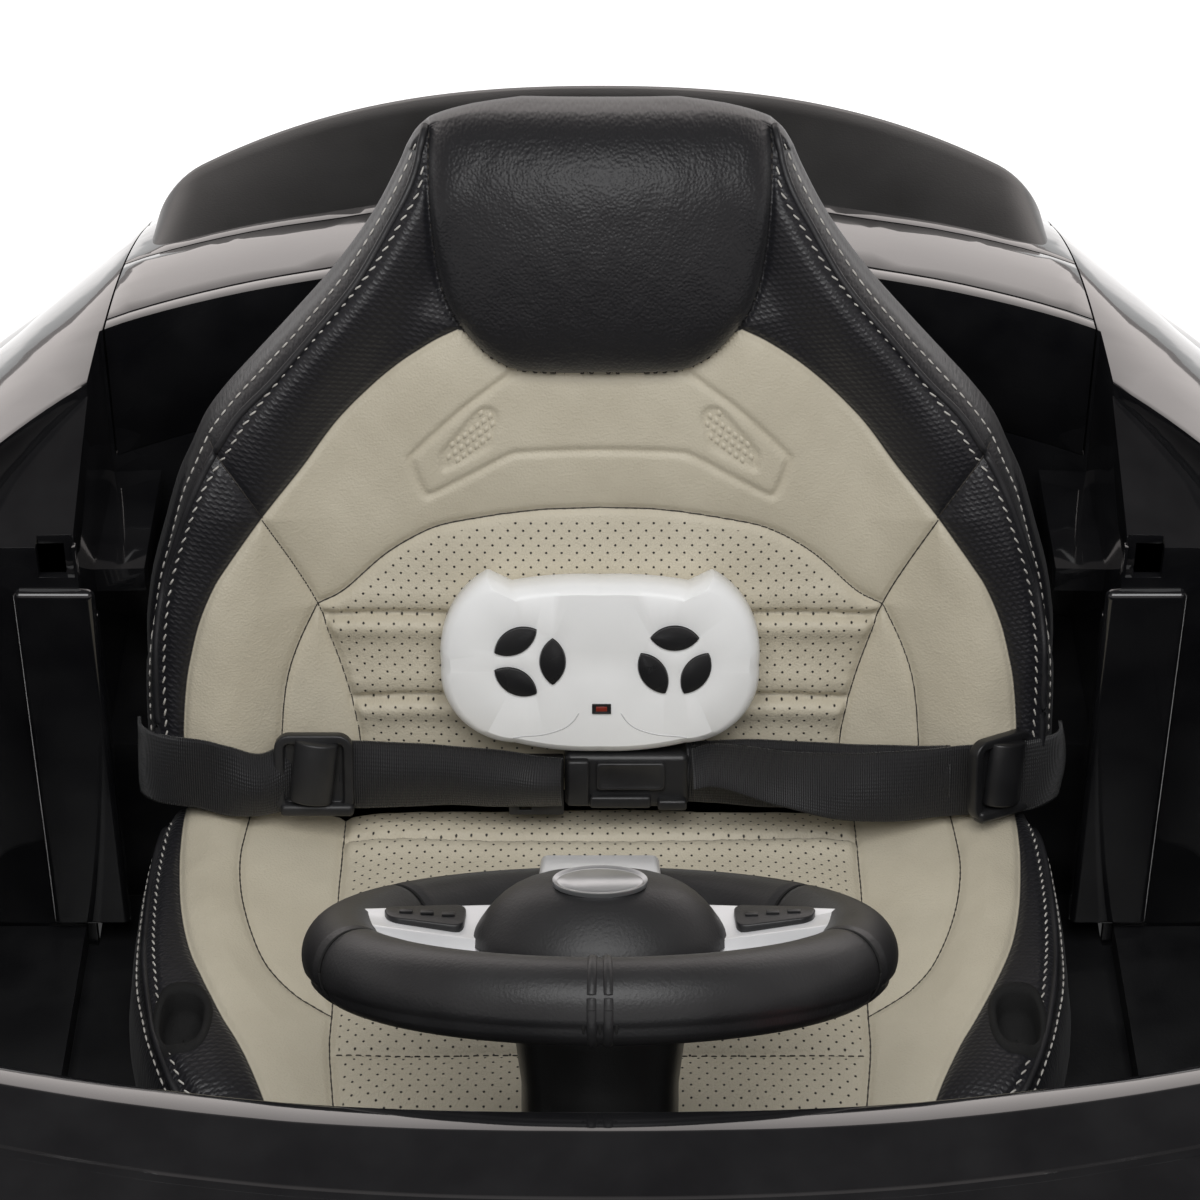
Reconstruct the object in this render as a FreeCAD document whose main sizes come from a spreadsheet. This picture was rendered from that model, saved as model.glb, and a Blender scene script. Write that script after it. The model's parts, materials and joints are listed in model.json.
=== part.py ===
import FreeCAD, Part
import math
import os
import re
import Sketcher
from FreeCAD import Placement, Rotation, Vector

doc = FreeCAD.newDocument("RideOnCar")
sheet = doc.addObject("Spreadsheet::Sheet", "sizes")

# Driving sizes in millimetres and degrees; the car faces -Y and stands on z = 0
SIZES = {
    # whole car; stretch scales the stations along the car with its length
    "overall_length": 1080, "overall_width": 620, "body_bottom_z": 50, "wall": 4,
    "panel_gap": 0.8, "clearance": 0.3, "running_fit": 0.05, "stretch": "overall_length / 1080",
    # body lines
    "nose_top_z": 196, "hood_front_z": 240, "hood_axle_z": 300, "cowl_z": 357, "deck_z": 335,
    "deck_rear_z": 324, "tail_top_z": 298, "nose_crest_x": 128, "front_crest_x": 218,
    "front_crest_z": 308, "belt_x": 272, "belt_z": 330, "rear_crest_x": 240, "rear_crest_z": 332,
    "tail_crest_x": 170, "waist_z": 190, "nose_half_width": 178, "door_half_width": 297,
    "tail_half_width": 190, "tuck": 14,
    # cockpit opening and panel splits
    "cowl_edge_y": "-117 * stretch", "cowl_side_y": "-72 * stretch", "cockpit_half_width": 262,
    "front_split_y": "-94 * stretch", "rear_split_y": "232 * stretch",
    "seat_half_width": 178, "seat_bay_gap": 26, "seat_bay_half_width": "seat_half_width + seat_bay_gap",
    "deck_corner_y": "346 * stretch", "deck_middle_y": "398 * stretch", "bumper_split_y": "-462 * stretch",
    "tail_split_y": "486 * stretch", "sill_top_z": 104, "boot_seam_offset": 26, "boot_seam_rise": 60,
    # latch slots and pads on the posts behind the doors
    "latch_width": 14, "latch_height": 17, "latch_z": 297, "post_pad_width": 32, "post_pad_low_z": 107,
    "post_pad_high_z": 283, "post_pad_proud": 4, "post_pad_round": 3, "post_top_z": 303, "post_reach": 7,
    # scooped tops of those posts and the side ledges behind the seat
    "scoop_back": 78, "scoop_out": 46, "scoop_fall": 32, "ledge_y": "276 * stretch", "ledge_z": 261,
    "ledge_depth": 12, "ledge_width": 20, "lip_width": 9, "seam_width": 1.2,
    # wheels and axles
    "wheel_radius": 108, "wheel_width": 70, "half_track": 262, "front_axle_y": "-330 * stretch",
    "rear_axle_y": "375 * stretch", "front_arch_radius": 138, "rear_arch_radius": 121,
    "front_well_x": 182, "rear_well_x": 212, "spindle_radius": 6, "axle_radius": 5, "cap_radius": 79,
    "cap_depth": 13, "hub_radius": 22, "tyre_depth": 27, "tread_groove": 3, "spoke_count": 7,
    # chassis
    "floor_z": 88, "floor_rear_y": "266 * stretch", "floor_thickness": 5, "floor_half_width": 216,
    "firewall_y": "-186 * stretch", "firewall_z": 236, "front_plate_z": 133, "front_beam_z": 76,
    "beam_thickness": 6, "beam_width": 30, "carrier_top_z": 178, "carrier_rear_y": "470 * stretch",
    # steering
    "column_tilt": 33, "wheel_centre_y": "-7 * stretch", "wheel_centre_z": 318, "rim_radius": 84.5,
    "rim_section": 13.5, "shaft_radius": 7, "column_radius": 26, "kingpin_x": 215,
    "kingpin_radius": 5, "knuckle_radius": 9, "knuckle_arm": 45, "crank_arm": 22.5,
    "link_pin_radius": 4, "tie_z": 54, "tie_thickness": 4, "arm_z": 66, "hub_dome": 29,
    "steer_slack": 1.6, "arm_width": 14, "hub_half_width": 41, "spoke_pad_travel": 2,
    "spoke_width": 24, "spoke_top": 12.5, "spoke_tip": 6, "spoke_low_width": 44, "spoke_cap_height": 15.5,
    "spoke_pad_low": 8.5, "spoke_pad_height": 6, "spoke_pad_length": 26, "spoke_pad_width": 17,
    "spoke_pad_x": 56,
    # seat
    "crease_y": "210 * stretch", "crease_z": 185, "recline": 20, "seat_rise": 5, "cushion_length": 190,
    "cushion_thickness": 34, "back_length": 289, "back_thickness": 40,
    "bolster": 16, "cushion_bolster": 9, "shoulder_half_width": 158, "neck_half_width": 115,
    "headrest_half_width": 74, "shell_thickness": 6, "shell_half_width": 160, "back_foot": 13,
    # belt and remote
    "webbing_width": 29, "webbing_thickness": 1.4, "belt_low": 8, "buckle_length": 49,
    "buckle_height": 22.5, "buckle_depth": 20, "tongue_length": 22, "adjuster_length": 34,
    "buckle_offset": 14, "buckle_low": 12, "buckle_seat": 3, "tongue_low": 8, "tongue_height": 24,
    "tongue_depth": 5, "tongue_slot": 5, "adjuster_right_x": 112, "adjuster_left_x": 153,
    "adjuster_height": 35, "adjuster_depth": 5, "remote_half_width": 62, "remote_height": 72,
    "remote_depth": 22, "leaf_length": 18.7, "leaf_width": 9.8, "leaf_height": 2.4, "leaf_reach": 9.6,
    # drive
    "battery_length": 151, "battery_width": 65, "battery_height": 94, "motor_radius": 18,
    "motor_length": 58, "gearbox_width": 52, "gearbox_radius": 40, "drive_boss_radius": 19,
    # doors, pedal, switch, socket, lamps
    "door_travel_gap": 2.2, "hinge_radius": 8, "hinge_pin_radius": 4, "pedal_length": 92,
    "pedal_width": 58, "pedal_pin_radius": 4, "pedal_y": "firewall_y + pedal_length - 1",
    "switch_length": 30, "switch_width": 20, "switch_x": 95, "switch_pin_radius": 2, "socket_radius": 9,
    "jack_radius": 3.2, "jack_depth": 12, "socket_y": "150 * stretch", "socket_z": 78, "lamp_z": 232,
    "lamp_x": 206, "lamp_half_length": 46, "lamp_half_height": 15, "grille_half_width": 118,
    "grille_height": 58, "grille_z": 128, "tail_lamp_z": 236, "tail_lamp_height": 24,
    "tail_lamp_half_width": 172, "spoiler_base_y": "466 * stretch", "spoiler_top_y": "521 * stretch",
    "spoiler_top_z": 340, "spoiler_half_width": 196, "spoiler_base_sweep": 46, "spoiler_top_sweep": 53,
    "spoiler_drop": 22, "spoiler_corner": 16, "dash_rear_y": "-74 * stretch", "dash_bottom_z": 226,
}
for row, (alias, amount) in enumerate(SIZES.items(), start=1):
    sheet.set("A%d" % row, alias)
    sheet.set("B%d" % row, "=" + amount if isinstance(amount, str) else str(amount))
    sheet.setAlias("B%d" % row, alias)
doc.recompute()

NODES = {}


def expand(text):
    """Put the sheet's name before every size named in an expression."""
    return re.sub(r"[A-Za-z_]\w*", lambda m: "sizes." + m.group(0) if m.group(0) in SIZES else m.group(0),
                  str(text))


def value(text):
    """Number that an expression of sizes comes to."""
    return float(sheet.evalExpression(expand(text)))


def primitive(kind, name, place=(0, 0, 0), turn=None, **dims):
    """Part primitive whose sizes and place are bound to the sheet."""
    item = doc.addObject("Part::" + kind, name)
    if turn is not None:
        item.Placement = Placement(Vector(), turn)
    for prop, text in dims.items():
        item.setExpression(prop, expand(text))
    for axis, text in zip("xyz", place):
        item.setExpression("Placement.Base." + axis, expand(text))
    return item


def box(name, x, y, z):
    """Box between two expressions on each axis."""
    return primitive("Box", name, (x[0], y[0], z[0]), None, Length="(%s) - (%s)" % (x[1], x[0]),
                     Width="(%s) - (%s)" % (y[1], y[0]), Height="(%s) - (%s)" % (z[1], z[0]))


ALONG_X = Rotation(Vector(0, 1, 0), 90)
ALONG_MINUS_Z = Rotation(Vector(1, 0, 0), 180)
ALONG_MINUS_Y = Rotation(Vector(1, 0, 0), 90)


def cylinder(name, place, radius, height, turn=None):
    """Cylinder from a place along +Z, or along a turned axis."""
    return primitive("Cylinder", name, place, turn, Radius=radius, Height=height)


def fuse(name, *items):
    """Several items as one solid."""
    union = doc.addObject("Part::MultiFuse", name)
    union.Shapes = list(items)
    union.Refine = True
    return union


def cut(name, base, *tools):
    """Base with every tool taken away."""
    tool = tools[0] if len(tools) == 1 else fuse(name + "_tools", *tools)
    result = doc.addObject("Part::Cut", name)
    result.Base = base
    result.Tool = tool
    result.Refine = True
    return result


def fillet(name, base, radius, pick):
    """Base with the edges that pick() chooses rounded to one radius."""
    doc.recompute()
    result = doc.addObject("Part::Fillet", name)
    result.Base = base
    size = value(radius)
    result.Edges = [(i, size, size) for i, edge in enumerate(base.Shape.Edges, start=1) if pick(edge)]
    return result


def mirror(name, source):
    """Source mirrored to the other side of the car."""
    other = doc.addObject("Part::Mirroring", name)
    other.Source = source
    other.Normal = Vector(1, 0, 0)
    return other


def node(name, item):
    """Enter an object as a piece of the car."""
    item.Label = name
    NODES[name] = item
    return item


def pair(stem, left):
    """Enter a left-hand piece, on +X, and its mirrored right-hand one."""
    node(stem + "_left", left)
    return node(stem + "_right", mirror(stem + "_mirrored", left))


def feature(name, shape):
    """Piece whose shape is made in code from the sheet's sizes."""
    item = doc.addObject("Part::Feature", name + "_shape")
    item.Shape = shape
    return node(name, item)


def feature_pair(stem, shape):
    """Enter a left-hand shape and its mirror image."""
    feature(stem + "_left", shape)
    feature(stem + "_right", shape.mirror(Vector(0, 0, 0), Vector(1, 0, 0)))


def along(edge, axis):
    """True for a straight edge that runs along one axis (0 x, 1 y, 2 z)."""
    ends = [v.Point for v in edge.Vertexes]
    if len(ends) < 2:
        return False
    step = ends[1] - ends[0]
    return abs(step[axis]) > 0.999 * step.Length and edge.Curve.TypeId == "Part::GeomLine"


def solid_box(x0, x1, y0, y1, z0, z1):
    """Plain box shape between limits."""
    return Part.makeBox(x1 - x0, y1 - y0, z1 - z0, Vector(x0, y0, z0))


def prism(points, direction):
    """Prism over a closed outline of points."""
    wire = Part.makePolygon(list(points) + [points[0]])
    return Part.Face(wire).extrude(direction)


# Body master: one smooth form that every outer panel is cut from
def line_through(*points):
    """Smooth curve y -> amount through points (y, amount), level at both ends."""
    def amount(y):
        if y <= points[0][0]:
            return points[0][1]
        for i in range(len(points) - 1):
            (y0, a0), (y1, a1) = points[i], points[i + 1]
            if y <= y1:
                before = points[max(i - 1, 0)]
                after = points[min(i + 2, len(points) - 1)]
                span = y1 - y0
                slope0 = (a1 - before[1]) / (y1 - before[0])
                slope1 = (after[1] - a0) / (after[0] - y0)
                t = (y - y0) / span
                return ((2 * t**3 - 3 * t**2 + 1) * a0 + (t**3 - 2 * t**2 + t) * span * slope0
                        + (3 * t**2 - 2 * t**3) * a1 + (t**3 - t**2) * span * slope1)
        return points[-1][1]
    return amount


NOSE = -value("overall_length / 2")
TAIL = value("overall_length / 2")
HALF = value("overall_width / 2")
FRONT = value("front_axle_y")
REAR = value("rear_axle_y")
WALL = value("wall")
GAP = value("panel_gap")
SLACK = value("clearance")
BOTTOM = value("body_bottom_z")
SPLIT_A = value("front_split_y")
SPLIT_B = value("rear_split_y")
centre_line = line_through((NOSE, value("nose_top_z")), (NOSE + 60, value("hood_front_z")),
                           (FRONT, value("hood_axle_z")), (SPLIT_A, value("cowl_z")),
                           (SPLIT_B, value("deck_z + 6")), (REAR, value("deck_z")),
                           (TAIL - 80, value("deck_rear_z")), (TAIL, value("tail_top_z")))
crest_plan = line_through((NOSE, value("nose_crest_x")), (NOSE + 60, value("lamp_x - 14")),
                          (FRONT, value("front_crest_x")), (SPLIT_A, value("belt_x - 8")),
                          (SPLIT_B, value("belt_x - 4")), (REAR, value("rear_crest_x")),
                          (TAIL, value("tail_crest_x")))
crest_line = line_through((NOSE, value("nose_top_z - 4")), (NOSE + 60, value("hood_front_z + 2")),
                          (FRONT, value("front_crest_z")), (SPLIT_A, value("belt_z + 18")),
                          (value("crease_y - 120"), value("belt_z")), (REAR, value("rear_crest_z")),
                          (TAIL - 80, value("deck_rear_z - 8")), (TAIL, value("tail_top_z - 10")))
plan_line = line_through((NOSE, value("nose_half_width")), (NOSE + 20, value("nose_half_width + 42")),
                         (NOSE + 60, value("nose_half_width + 86")), (FRONT, HALF - 2),
                         (SPLIT_A, value("door_half_width + 2")), (100, value("door_half_width")),
                         (REAR, HALF), (TAIL - 70, value("tail_half_width + 94")),
                         (TAIL - 22, value("tail_half_width + 46")), (TAIL, value("tail_half_width")))
waist_line = line_through((NOSE, value("waist_z - 52")), (NOSE + 90, value("waist_z")),
                          (TAIL - 90, value("waist_z + 6")), (TAIL, value("waist_z")))


def body_section(y, inset, drop):
    """Section wire of the body form at one station, drawn in by an inset."""
    top = centre_line(y) - inset
    crest_x = crest_plan(y) - 0.6 * inset
    crest_z = crest_line(y) - inset
    wide = plan_line(y) - inset
    waist = waist_line(y)
    half = [(0.5 * crest_x, top + 0.35 * (crest_z - top)), (crest_x, crest_z),
            (crest_x + 0.74 * (wide - crest_x), crest_z - 0.32 * (crest_z - waist)),
            (wide, waist), (wide - value("tuck"), BOTTOM - drop)]
    points = ([Vector(-x, y, z) for x, z in reversed(half)] + [Vector(0, y, top)]
              + [Vector(x, y, z) for x, z in half])
    curve = Part.BSplineCurve()
    curve.interpolate(Points=points, Parameters=[float(i) for i in range(len(points))])
    return Part.Wire([curve.toShape(), Part.makeLine(points[-1], points[0])])


def body_form(inset, drop):
    """Loft of the body form through its stations."""
    stations = [NOSE + inset, NOSE + inset + 6, NOSE + 20, NOSE + 60, NOSE + 120, FRONT, FRONT + 115,
                SPLIT_A - 30, value("crease_y - 120"), SPLIT_B, REAR, TAIL - 100, TAIL - 60, TAIL - 22,
                TAIL - inset - 6, TAIL - inset]
    return Part.makeLoft([body_section(y, inset, drop) for y in stations], True, False)


OUTER = body_form(0, 0)
INNER = body_form(WALL, 12)
LINING = body_form(WALL + SLACK, 12)


def both_sides(shape):
    """A left-hand shape, on +X, with its mirror image."""
    return [shape, shape.mirror(Vector(0, 0, 0), Vector(1, 0, 0))]


def well(axle_y, radius, x):
    """Left-hand wheel-well cylinder from x outwards."""
    return Part.makeCylinder(radius, HALF + 40 - x, Vector(x, axle_y, value("wheel_radius")),
                             Vector(1, 0, 0))


def cockpit_prism(grow):
    """Upright prism over the plan of the cockpit opening, its seat bay grown by an amount."""
    bay = value("seat_bay_half_width") + grow
    wide = value("cockpit_half_width")
    side_y = value("cowl_side_y")
    corner_y = value("deck_corner_y") + grow
    middle_y = value("deck_middle_y") + grow
    front = Part.Arc(Vector(-wide, side_y, 0), Vector(0, value("cowl_edge_y"), 0), Vector(wide, side_y, 0))
    back = Part.Arc(Vector(bay, corner_y, 0), Vector(0, middle_y, 0), Vector(-bay, corner_y, 0))
    path = [Vector(wide, side_y, 0), Vector(wide, SPLIT_B, 0), Vector(bay, SPLIT_B, 0),
            Vector(bay, corner_y, 0)]
    right = [Part.makeLine(path[i], path[i + 1]) for i in range(3)]
    left = [Part.makeLine(Vector(-path[i + 1].x, path[i + 1].y, 0), Vector(-path[i].x, path[i].y, 0))
            for i in (2, 1, 0)]
    wire = Part.Wire([front.toShape()] + right + [back.toShape()] + left)
    return Part.Face(wire).extrude(Vector(0, 0, 500))


COCKPIT = cockpit_prism(0)
WIDE = HALF + 60
FRONT_WELLS = both_sides(well(FRONT, value("front_arch_radius"), value("front_well_x + wall")))
FRONT_LINERS = both_sides(well(FRONT, value("front_arch_radius + wall"), value("front_well_x")))
REAR_WELLS = both_sides(well(REAR, value("rear_arch_radius"), value("rear_well_x + wall")))
REAR_LINERS = both_sides(well(REAR, value("rear_arch_radius + wall"), value("rear_well_x")))


def lamp_prism(grow):
    """Left-hand headlamp outline carried fore and aft, grown by an amount."""
    a = value("lamp_half_length") + grow
    b = value("lamp_half_height") + grow
    x, z = value("lamp_x"), value("lamp_z")
    points = [Vector(x - a, NOSE - 20, z - 0.2 * b), Vector(x - 0.3 * a, NOSE - 20, z - b),
              Vector(x + 0.8 * a, NOSE - 20, z - 0.3 * b), Vector(x + a, NOSE - 20, z + b),
              Vector(x - 0.2 * a, NOSE - 20, z + 0.7 * b)]
    return prism(points, Vector(0, 170, 0))


# Front body, bumper, grille and lamps
def front_panels():
    """Front body, bumper and headlamps cut from the body form."""
    bumper_y = value("bumper_split_y")
    cavity = INNER.common(solid_box(-WIDE, WIDE, NOSE - 5, SPLIT_A - WALL, 0, 500)).cut(FRONT_LINERS)
    shell = OUTER.common(solid_box(-WIDE, WIDE, NOSE - 5, SPLIT_A, 0, 500))
    opening = solid_box(-value("floor_half_width"), value("floor_half_width"), SPLIT_A - 60, SPLIT_A + 5, 0,
                        value("cowl_z - 30"))
    window = solid_box(-value("front_well_x + wall + 1"), value("front_well_x + wall + 1"), FRONT - 62,
                       FRONT + 84, 0, value("front_plate_z + 20"))
    shell = shell.cut([cavity] + FRONT_WELLS).cut([COCKPIT, opening, window])
    lens_cut = both_sides(lamp_prism(0))
    lens = OUTER.cut(body_form(WALL + 3, 12)).common(lamp_prism(-SLACK))
    grille_hole = solid_box(-value("grille_half_width"), value("grille_half_width"), NOSE - 10, NOSE + 60,
                            value("grille_z - grille_height / 2"), value("grille_z + grille_height / 2"))
    bumper_box = solid_box(-WIDE, WIDE, NOSE - 10, bumper_y, 0, value("lamp_z - lamp_half_height - 14"))
    gap_box = solid_box(-WIDE, WIDE, NOSE - 10, bumper_y + GAP, 0,
                        value("lamp_z - lamp_half_height - 14") + GAP)
    bumper = shell.common(bumper_box).cut(grille_hole)
    body = shell.cut(gap_box).cut(lens_cut)
    return body, bumper, lens


def largest(shape):
    """Biggest solid of a shape."""
    return max(shape.Solids, key=lambda s: s.Volume)


front_body, bumper, lens = front_panels()
feature("front_body", largest(front_body))
feature("front_bumper", largest(bumper))
feature_pair("headlamp", largest(lens))


# Rear body, deck, spoiler, bumper and tail lamp
SEAM_X = value("seat_bay_half_width - 2")


def arc_strip(corner_x, corner_y, middle_y):
    """Upright strip of one seam's width along an arc across the deck."""
    edges = []
    for shift in (0, value("seam_width")):
        edges.append(Part.Arc(Vector(-corner_x, corner_y + shift, 0), Vector(0, middle_y + shift, 0),
                              Vector(corner_x, corner_y + shift, 0)).toShape())
    ends = [Part.makeLine(edges[0].Vertexes[k].Point, edges[1].Vertexes[k].Point) for k in (0, 1)]
    return Part.Face(Part.Wire(Part.__sortEdges__(edges + ends))).extrude(Vector(0, 0, 500))


def post_scoop(grow):
    """Left-hand scoop that slopes the post's top back to a round corner, grown by an amount."""
    inner = value("seat_bay_half_width") - 8
    outer = value("seat_bay_half_width + scoop_out") + grow
    back = value("scoop_back") + grow
    middle = Vector(value("seat_bay_half_width + scoop_out / 2") + grow / 2, SPLIT_B + 0.58 * back, 0)
    ends = [Vector(outer, SPLIT_B, 0), Vector(outer, SPLIT_B - 40, 0), Vector(inner, SPLIT_B - 40, 0),
            Vector(inner, SPLIT_B + back, 0)]
    edges = [Part.makeLine(ends[i], ends[i + 1]) for i in range(3)]
    edges.append(Part.Arc(ends[3], middle, ends[0]).toShape())
    prism = Part.Face(Part.Wire(edges)).extrude(Vector(0, 0, 500))
    rise = value("scoop_fall / scoop_back")
    slope = []
    for y in (SPLIT_B - 50, SPLIT_B + back + 20):
        slope.append(Vector(0, y, value("post_top_z") - grow + (y - SPLIT_B) * rise))
    outline = slope + [Vector(0, slope[1].y, 500), Vector(0, slope[0].y, 500), slope[0]]
    return prism.common(Part.Face(Part.makePolygon(outline)).extrude(Vector(WIDE, 0, 0)))


def scoop_skin():
    """Wall round and under the scoop, as thick as the shell."""
    room = solid_box(value("seat_bay_half_width"), WIDE, SPLIT_B, TAIL, 0, 500)
    return post_scoop(WALL).cut(post_scoop(0)).common(OUTER).common(room)


def post_pad(post_x):
    """Left-hand pad on the post's face, its front edges rounded."""
    front = SPLIT_B - value("post_pad_proud")
    pad = solid_box(post_x, post_x + value("post_pad_width"), front, SPLIT_B + 1, value("post_pad_low_z"),
                    value("post_pad_high_z"))
    edges = [e for e in pad.Edges if min(v.Point.y for v in e.Vertexes) < front + 0.1]
    return pad.makeFillet(value("post_pad_round"), edges)


def rear_panels():
    """Rear body, deck, bumper and tail lamp cut from the body form."""
    bay = value("seat_bay_half_width")
    tail_y = value("tail_split_y")
    ledge = value("carrier_top_z") + SLACK
    lamp_half = value("tail_lamp_half_width")
    lamp_low = value("tail_lamp_z - tail_lamp_height / 2")
    lamp_high = value("tail_lamp_z + tail_lamp_height / 2")
    deck_low = lamp_high + 22
    behind = solid_box(-WIDE, WIDE, SPLIT_B + WALL, TAIL, 0, 500)
    cavity = INNER.common(behind).cut([cockpit_prism(WALL)] + REAR_LINERS)
    tray = solid_box(-value("rear_well_x"), value("rear_well_x"), SPLIT_B - 5, TAIL - WALL - 30, 0, ledge)
    shell = OUTER.common(solid_box(-WIDE, WIDE, SPLIT_B, TAIL + 5, 0, 500))
    drive_hole = Part.makeCylinder(value("drive_boss_radius + 3"), 2 * value("half_track"),
                                   Vector(-value("half_track"), REAR, value("wheel_radius")), Vector(1, 0, 0))
    shell = shell.cut([cavity] + REAR_WELLS).cut([COCKPIT, tray, drive_hole])
    post_x = bay - value("post_reach")
    post = solid_box(post_x, bay + 1, SPLIT_B, SPLIT_B + WALL, value("post_pad_low_z"), value("post_top_z"))
    latch = solid_box(bay, bay + value("latch_width"), SPLIT_B - 2, SPLIT_B + WALL + 2,
                      value("latch_z - latch_height / 2"), value("latch_z + latch_height / 2"))
    ledge_block = solid_box(bay - value("ledge_width"), bay + 1, value("ledge_y"), value("deck_corner_y"),
                            value("ledge_z - ledge_depth"), value("ledge_z"))
    added = [post, post_pad(post_x), ledge_block, scoop_skin()]
    shell = shell.cut(both_sides(post_scoop(0))).fuse([half for item in added for half in both_sides(item)])
    shell = shell.cut(both_sides(latch))
    lamp = solid_box(-lamp_half, lamp_half, TAIL - 60, TAIL + 10, lamp_low, lamp_high)
    lamp_piece = solid_box(-lamp_half + SLACK, lamp_half - SLACK, TAIL - 60, TAIL + 10, lamp_low + SLACK,
                           lamp_high - SLACK)
    lens = OUTER.cut(body_form(WALL + 3, 12)).common(lamp_piece)
    boot_seam = arc_strip(WIDE, value("deck_corner_y + boot_seam_offset - 80"),
                          value("deck_middle_y + boot_seam_rise"))
    lip_seam = arc_strip(SEAM_X, value("deck_corner_y + lip_width"), value("deck_middle_y + lip_width"))
    groove = OUTER.cut(body_form(2, 12)).common(boot_seam.fuse(lip_seam))
    deck_box = solid_box(-SEAM_X, SEAM_X, SPLIT_B, TAIL + 5, deck_low, 500)
    deck = shell.common(deck_box).cut(groove)
    bumper = shell.common(solid_box(-WIDE, WIDE, tail_y, TAIL + 5, 0, lamp_low - 16))
    body = shell.cut([solid_box(-SEAM_X - GAP, SEAM_X + GAP, SPLIT_B, TAIL + 5, deck_low - GAP, 500),
                      solid_box(-WIDE, WIDE, tail_y - GAP, TAIL + 5, 0, lamp_low - 16 + GAP), lamp])
    return body, deck, bumper, lens


rear_body, deck, rear_bumper, tail_lens = rear_panels()
feature("rear_body", largest(rear_body))
feature("rear_deck", largest(deck))
feature("rear_bumper", largest(rear_bumper))
feature("tail_lamp", largest(tail_lens))


def spoiler():
    """Ducktail lofted across the car and seated on the deck."""
    half = value("spoiler_half_width")
    wires = []
    for station in range(-6, 7):
        share = station / 6
        bend = share * share
        base_y = value("spoiler_base_y") - value("spoiler_base_sweep") * bend
        top_y = value("spoiler_top_y") - value("spoiler_top_sweep") * bend * abs(share)
        top_z = value("spoiler_top_z") - value("spoiler_drop") * bend
        base_z = centre_line(base_y) - 14
        x = share * half
        hollow = Part.Arc(Vector(x, base_y, base_z), Vector(x, 0.5 * (base_y + top_y),
                                                            0.52 * top_z + 0.48 * base_z),
                          Vector(x, top_y, top_z)).toShape()
        corners = [Vector(x, top_y, top_z), Vector(x, top_y + 6, top_z - 3),
                   Vector(x, top_y + 10, base_z - 40),
                   Vector(x, base_y, base_z - 40), Vector(x, base_y, base_z)]
        wires.append(Part.Wire([hollow] + [Part.makeLine(corners[i], corners[i + 1]) for i in range(4)]))
    wing = Part.makeLoft(wires, True, False, False, 3)
    corner = value("spoiler_corner")
    end_z = value("spoiler_top_z - spoiler_drop") + 3
    low_z = value("deck_rear_z - 60")
    face_y = value("spoiler_base_y - 80")
    round_end = Part.Arc(Vector(half, face_y, end_z - corner),
                         Vector(half - 0.29 * corner, face_y, end_z - 0.29 * corner),
                         Vector(half - corner, face_y, end_z)).toShape()
    outline = [Vector(half - corner, face_y, end_z), Vector(half - corner, face_y, end_z + 60),
               Vector(0, face_y, end_z + 60), Vector(0, face_y, low_z), Vector(half, face_y, low_z),
               Vector(half, face_y, end_z - corner)]
    edges = [round_end] + [Part.makeLine(outline[i], outline[i + 1]) for i in range(5)]
    room = Part.Face(Part.Wire(edges)).extrude(Vector(0, 200, 0))
    return largest(wing.common(both_sides(room)[0].fuse(both_sides(room)[1])).cut(OUTER))


feature("rear_spoiler", spoiler())

# Sills and doors
HINGE_Y = SPLIT_A + value("hinge_radius + door_travel_gap / 2")
HINGE_X = plan_line(HINGE_Y) - value("hinge_radius")
SILL_Z = value("sill_top_z")
INNER_X = value("cockpit_half_width")


def upright(radius, z0, z1):
    """Upright cylinder on the left door's hinge line."""
    return Part.makeCylinder(radius, z1 - z0, Vector(HINGE_X, HINGE_Y, z0))


def sill(with_socket):
    """Left sill beam with the hinge post of its door."""
    beam = OUTER.common(solid_box(INNER_X, WIDE, SPLIT_A + GAP, SPLIT_B - GAP, 0, SILL_Z))
    shape = beam.fuse(upright(value("hinge_pin_radius"), SILL_Z - 1, SILL_Z + 80))
    if with_socket:
        hole = Part.makeCylinder(value("socket_radius + running_fit"), 60,
                                 Vector(INNER_X + 4, value("socket_y"), value("socket_z")), Vector(1, 0, 0))
        shape = shape.cut(hole)
    return shape.removeSplitter()


def door():
    """Left door with its hinge barrel and the bore for the post."""
    block = OUTER.common(solid_box(INNER_X, WIDE, HINGE_Y, SPLIT_B - value("door_travel_gap"), SILL_Z + GAP,
                                   500))
    barrel = upright(value("hinge_radius"), SILL_Z + GAP, value("belt_z - 12")).common(body_form(0.4, 0))
    bore = upright(value("hinge_pin_radius + running_fit"), SILL_Z, SILL_Z + 81)
    return largest(block.fuse(barrel).cut(bore))


feature("sill_left", sill(True))
feature("sill_right", sill(False).mirror(Vector(0, 0, 0), Vector(1, 0, 0)))
feature_pair("door", door())
SOCKET_X = plan_line(value("socket_y")) - value("tuck") * 0.62
socket_body = cylinder("socket_body", (SOCKET_X - 16, "socket_y", "socket_z"), "socket_radius", "17", ALONG_X)
socket_rim = cylinder("socket_rim", (SOCKET_X + 1, "socket_y", "socket_z"), "socket_radius + 3", "2.5",
                      ALONG_X)
socket_jack = cylinder("socket_jack", (SOCKET_X + 3.5 - value("jack_depth"), "socket_y", "socket_z"),
                       "jack_radius", "jack_depth + 1", ALONG_X)
node("charge_socket", cut("charge_socket_cut", fuse("socket_fuse", socket_body, socket_rim), socket_jack))

# Dashboard with the pocket of its rocker switch
SWITCH_TURN = Rotation(Vector(1, 0, 0), -45)


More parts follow.
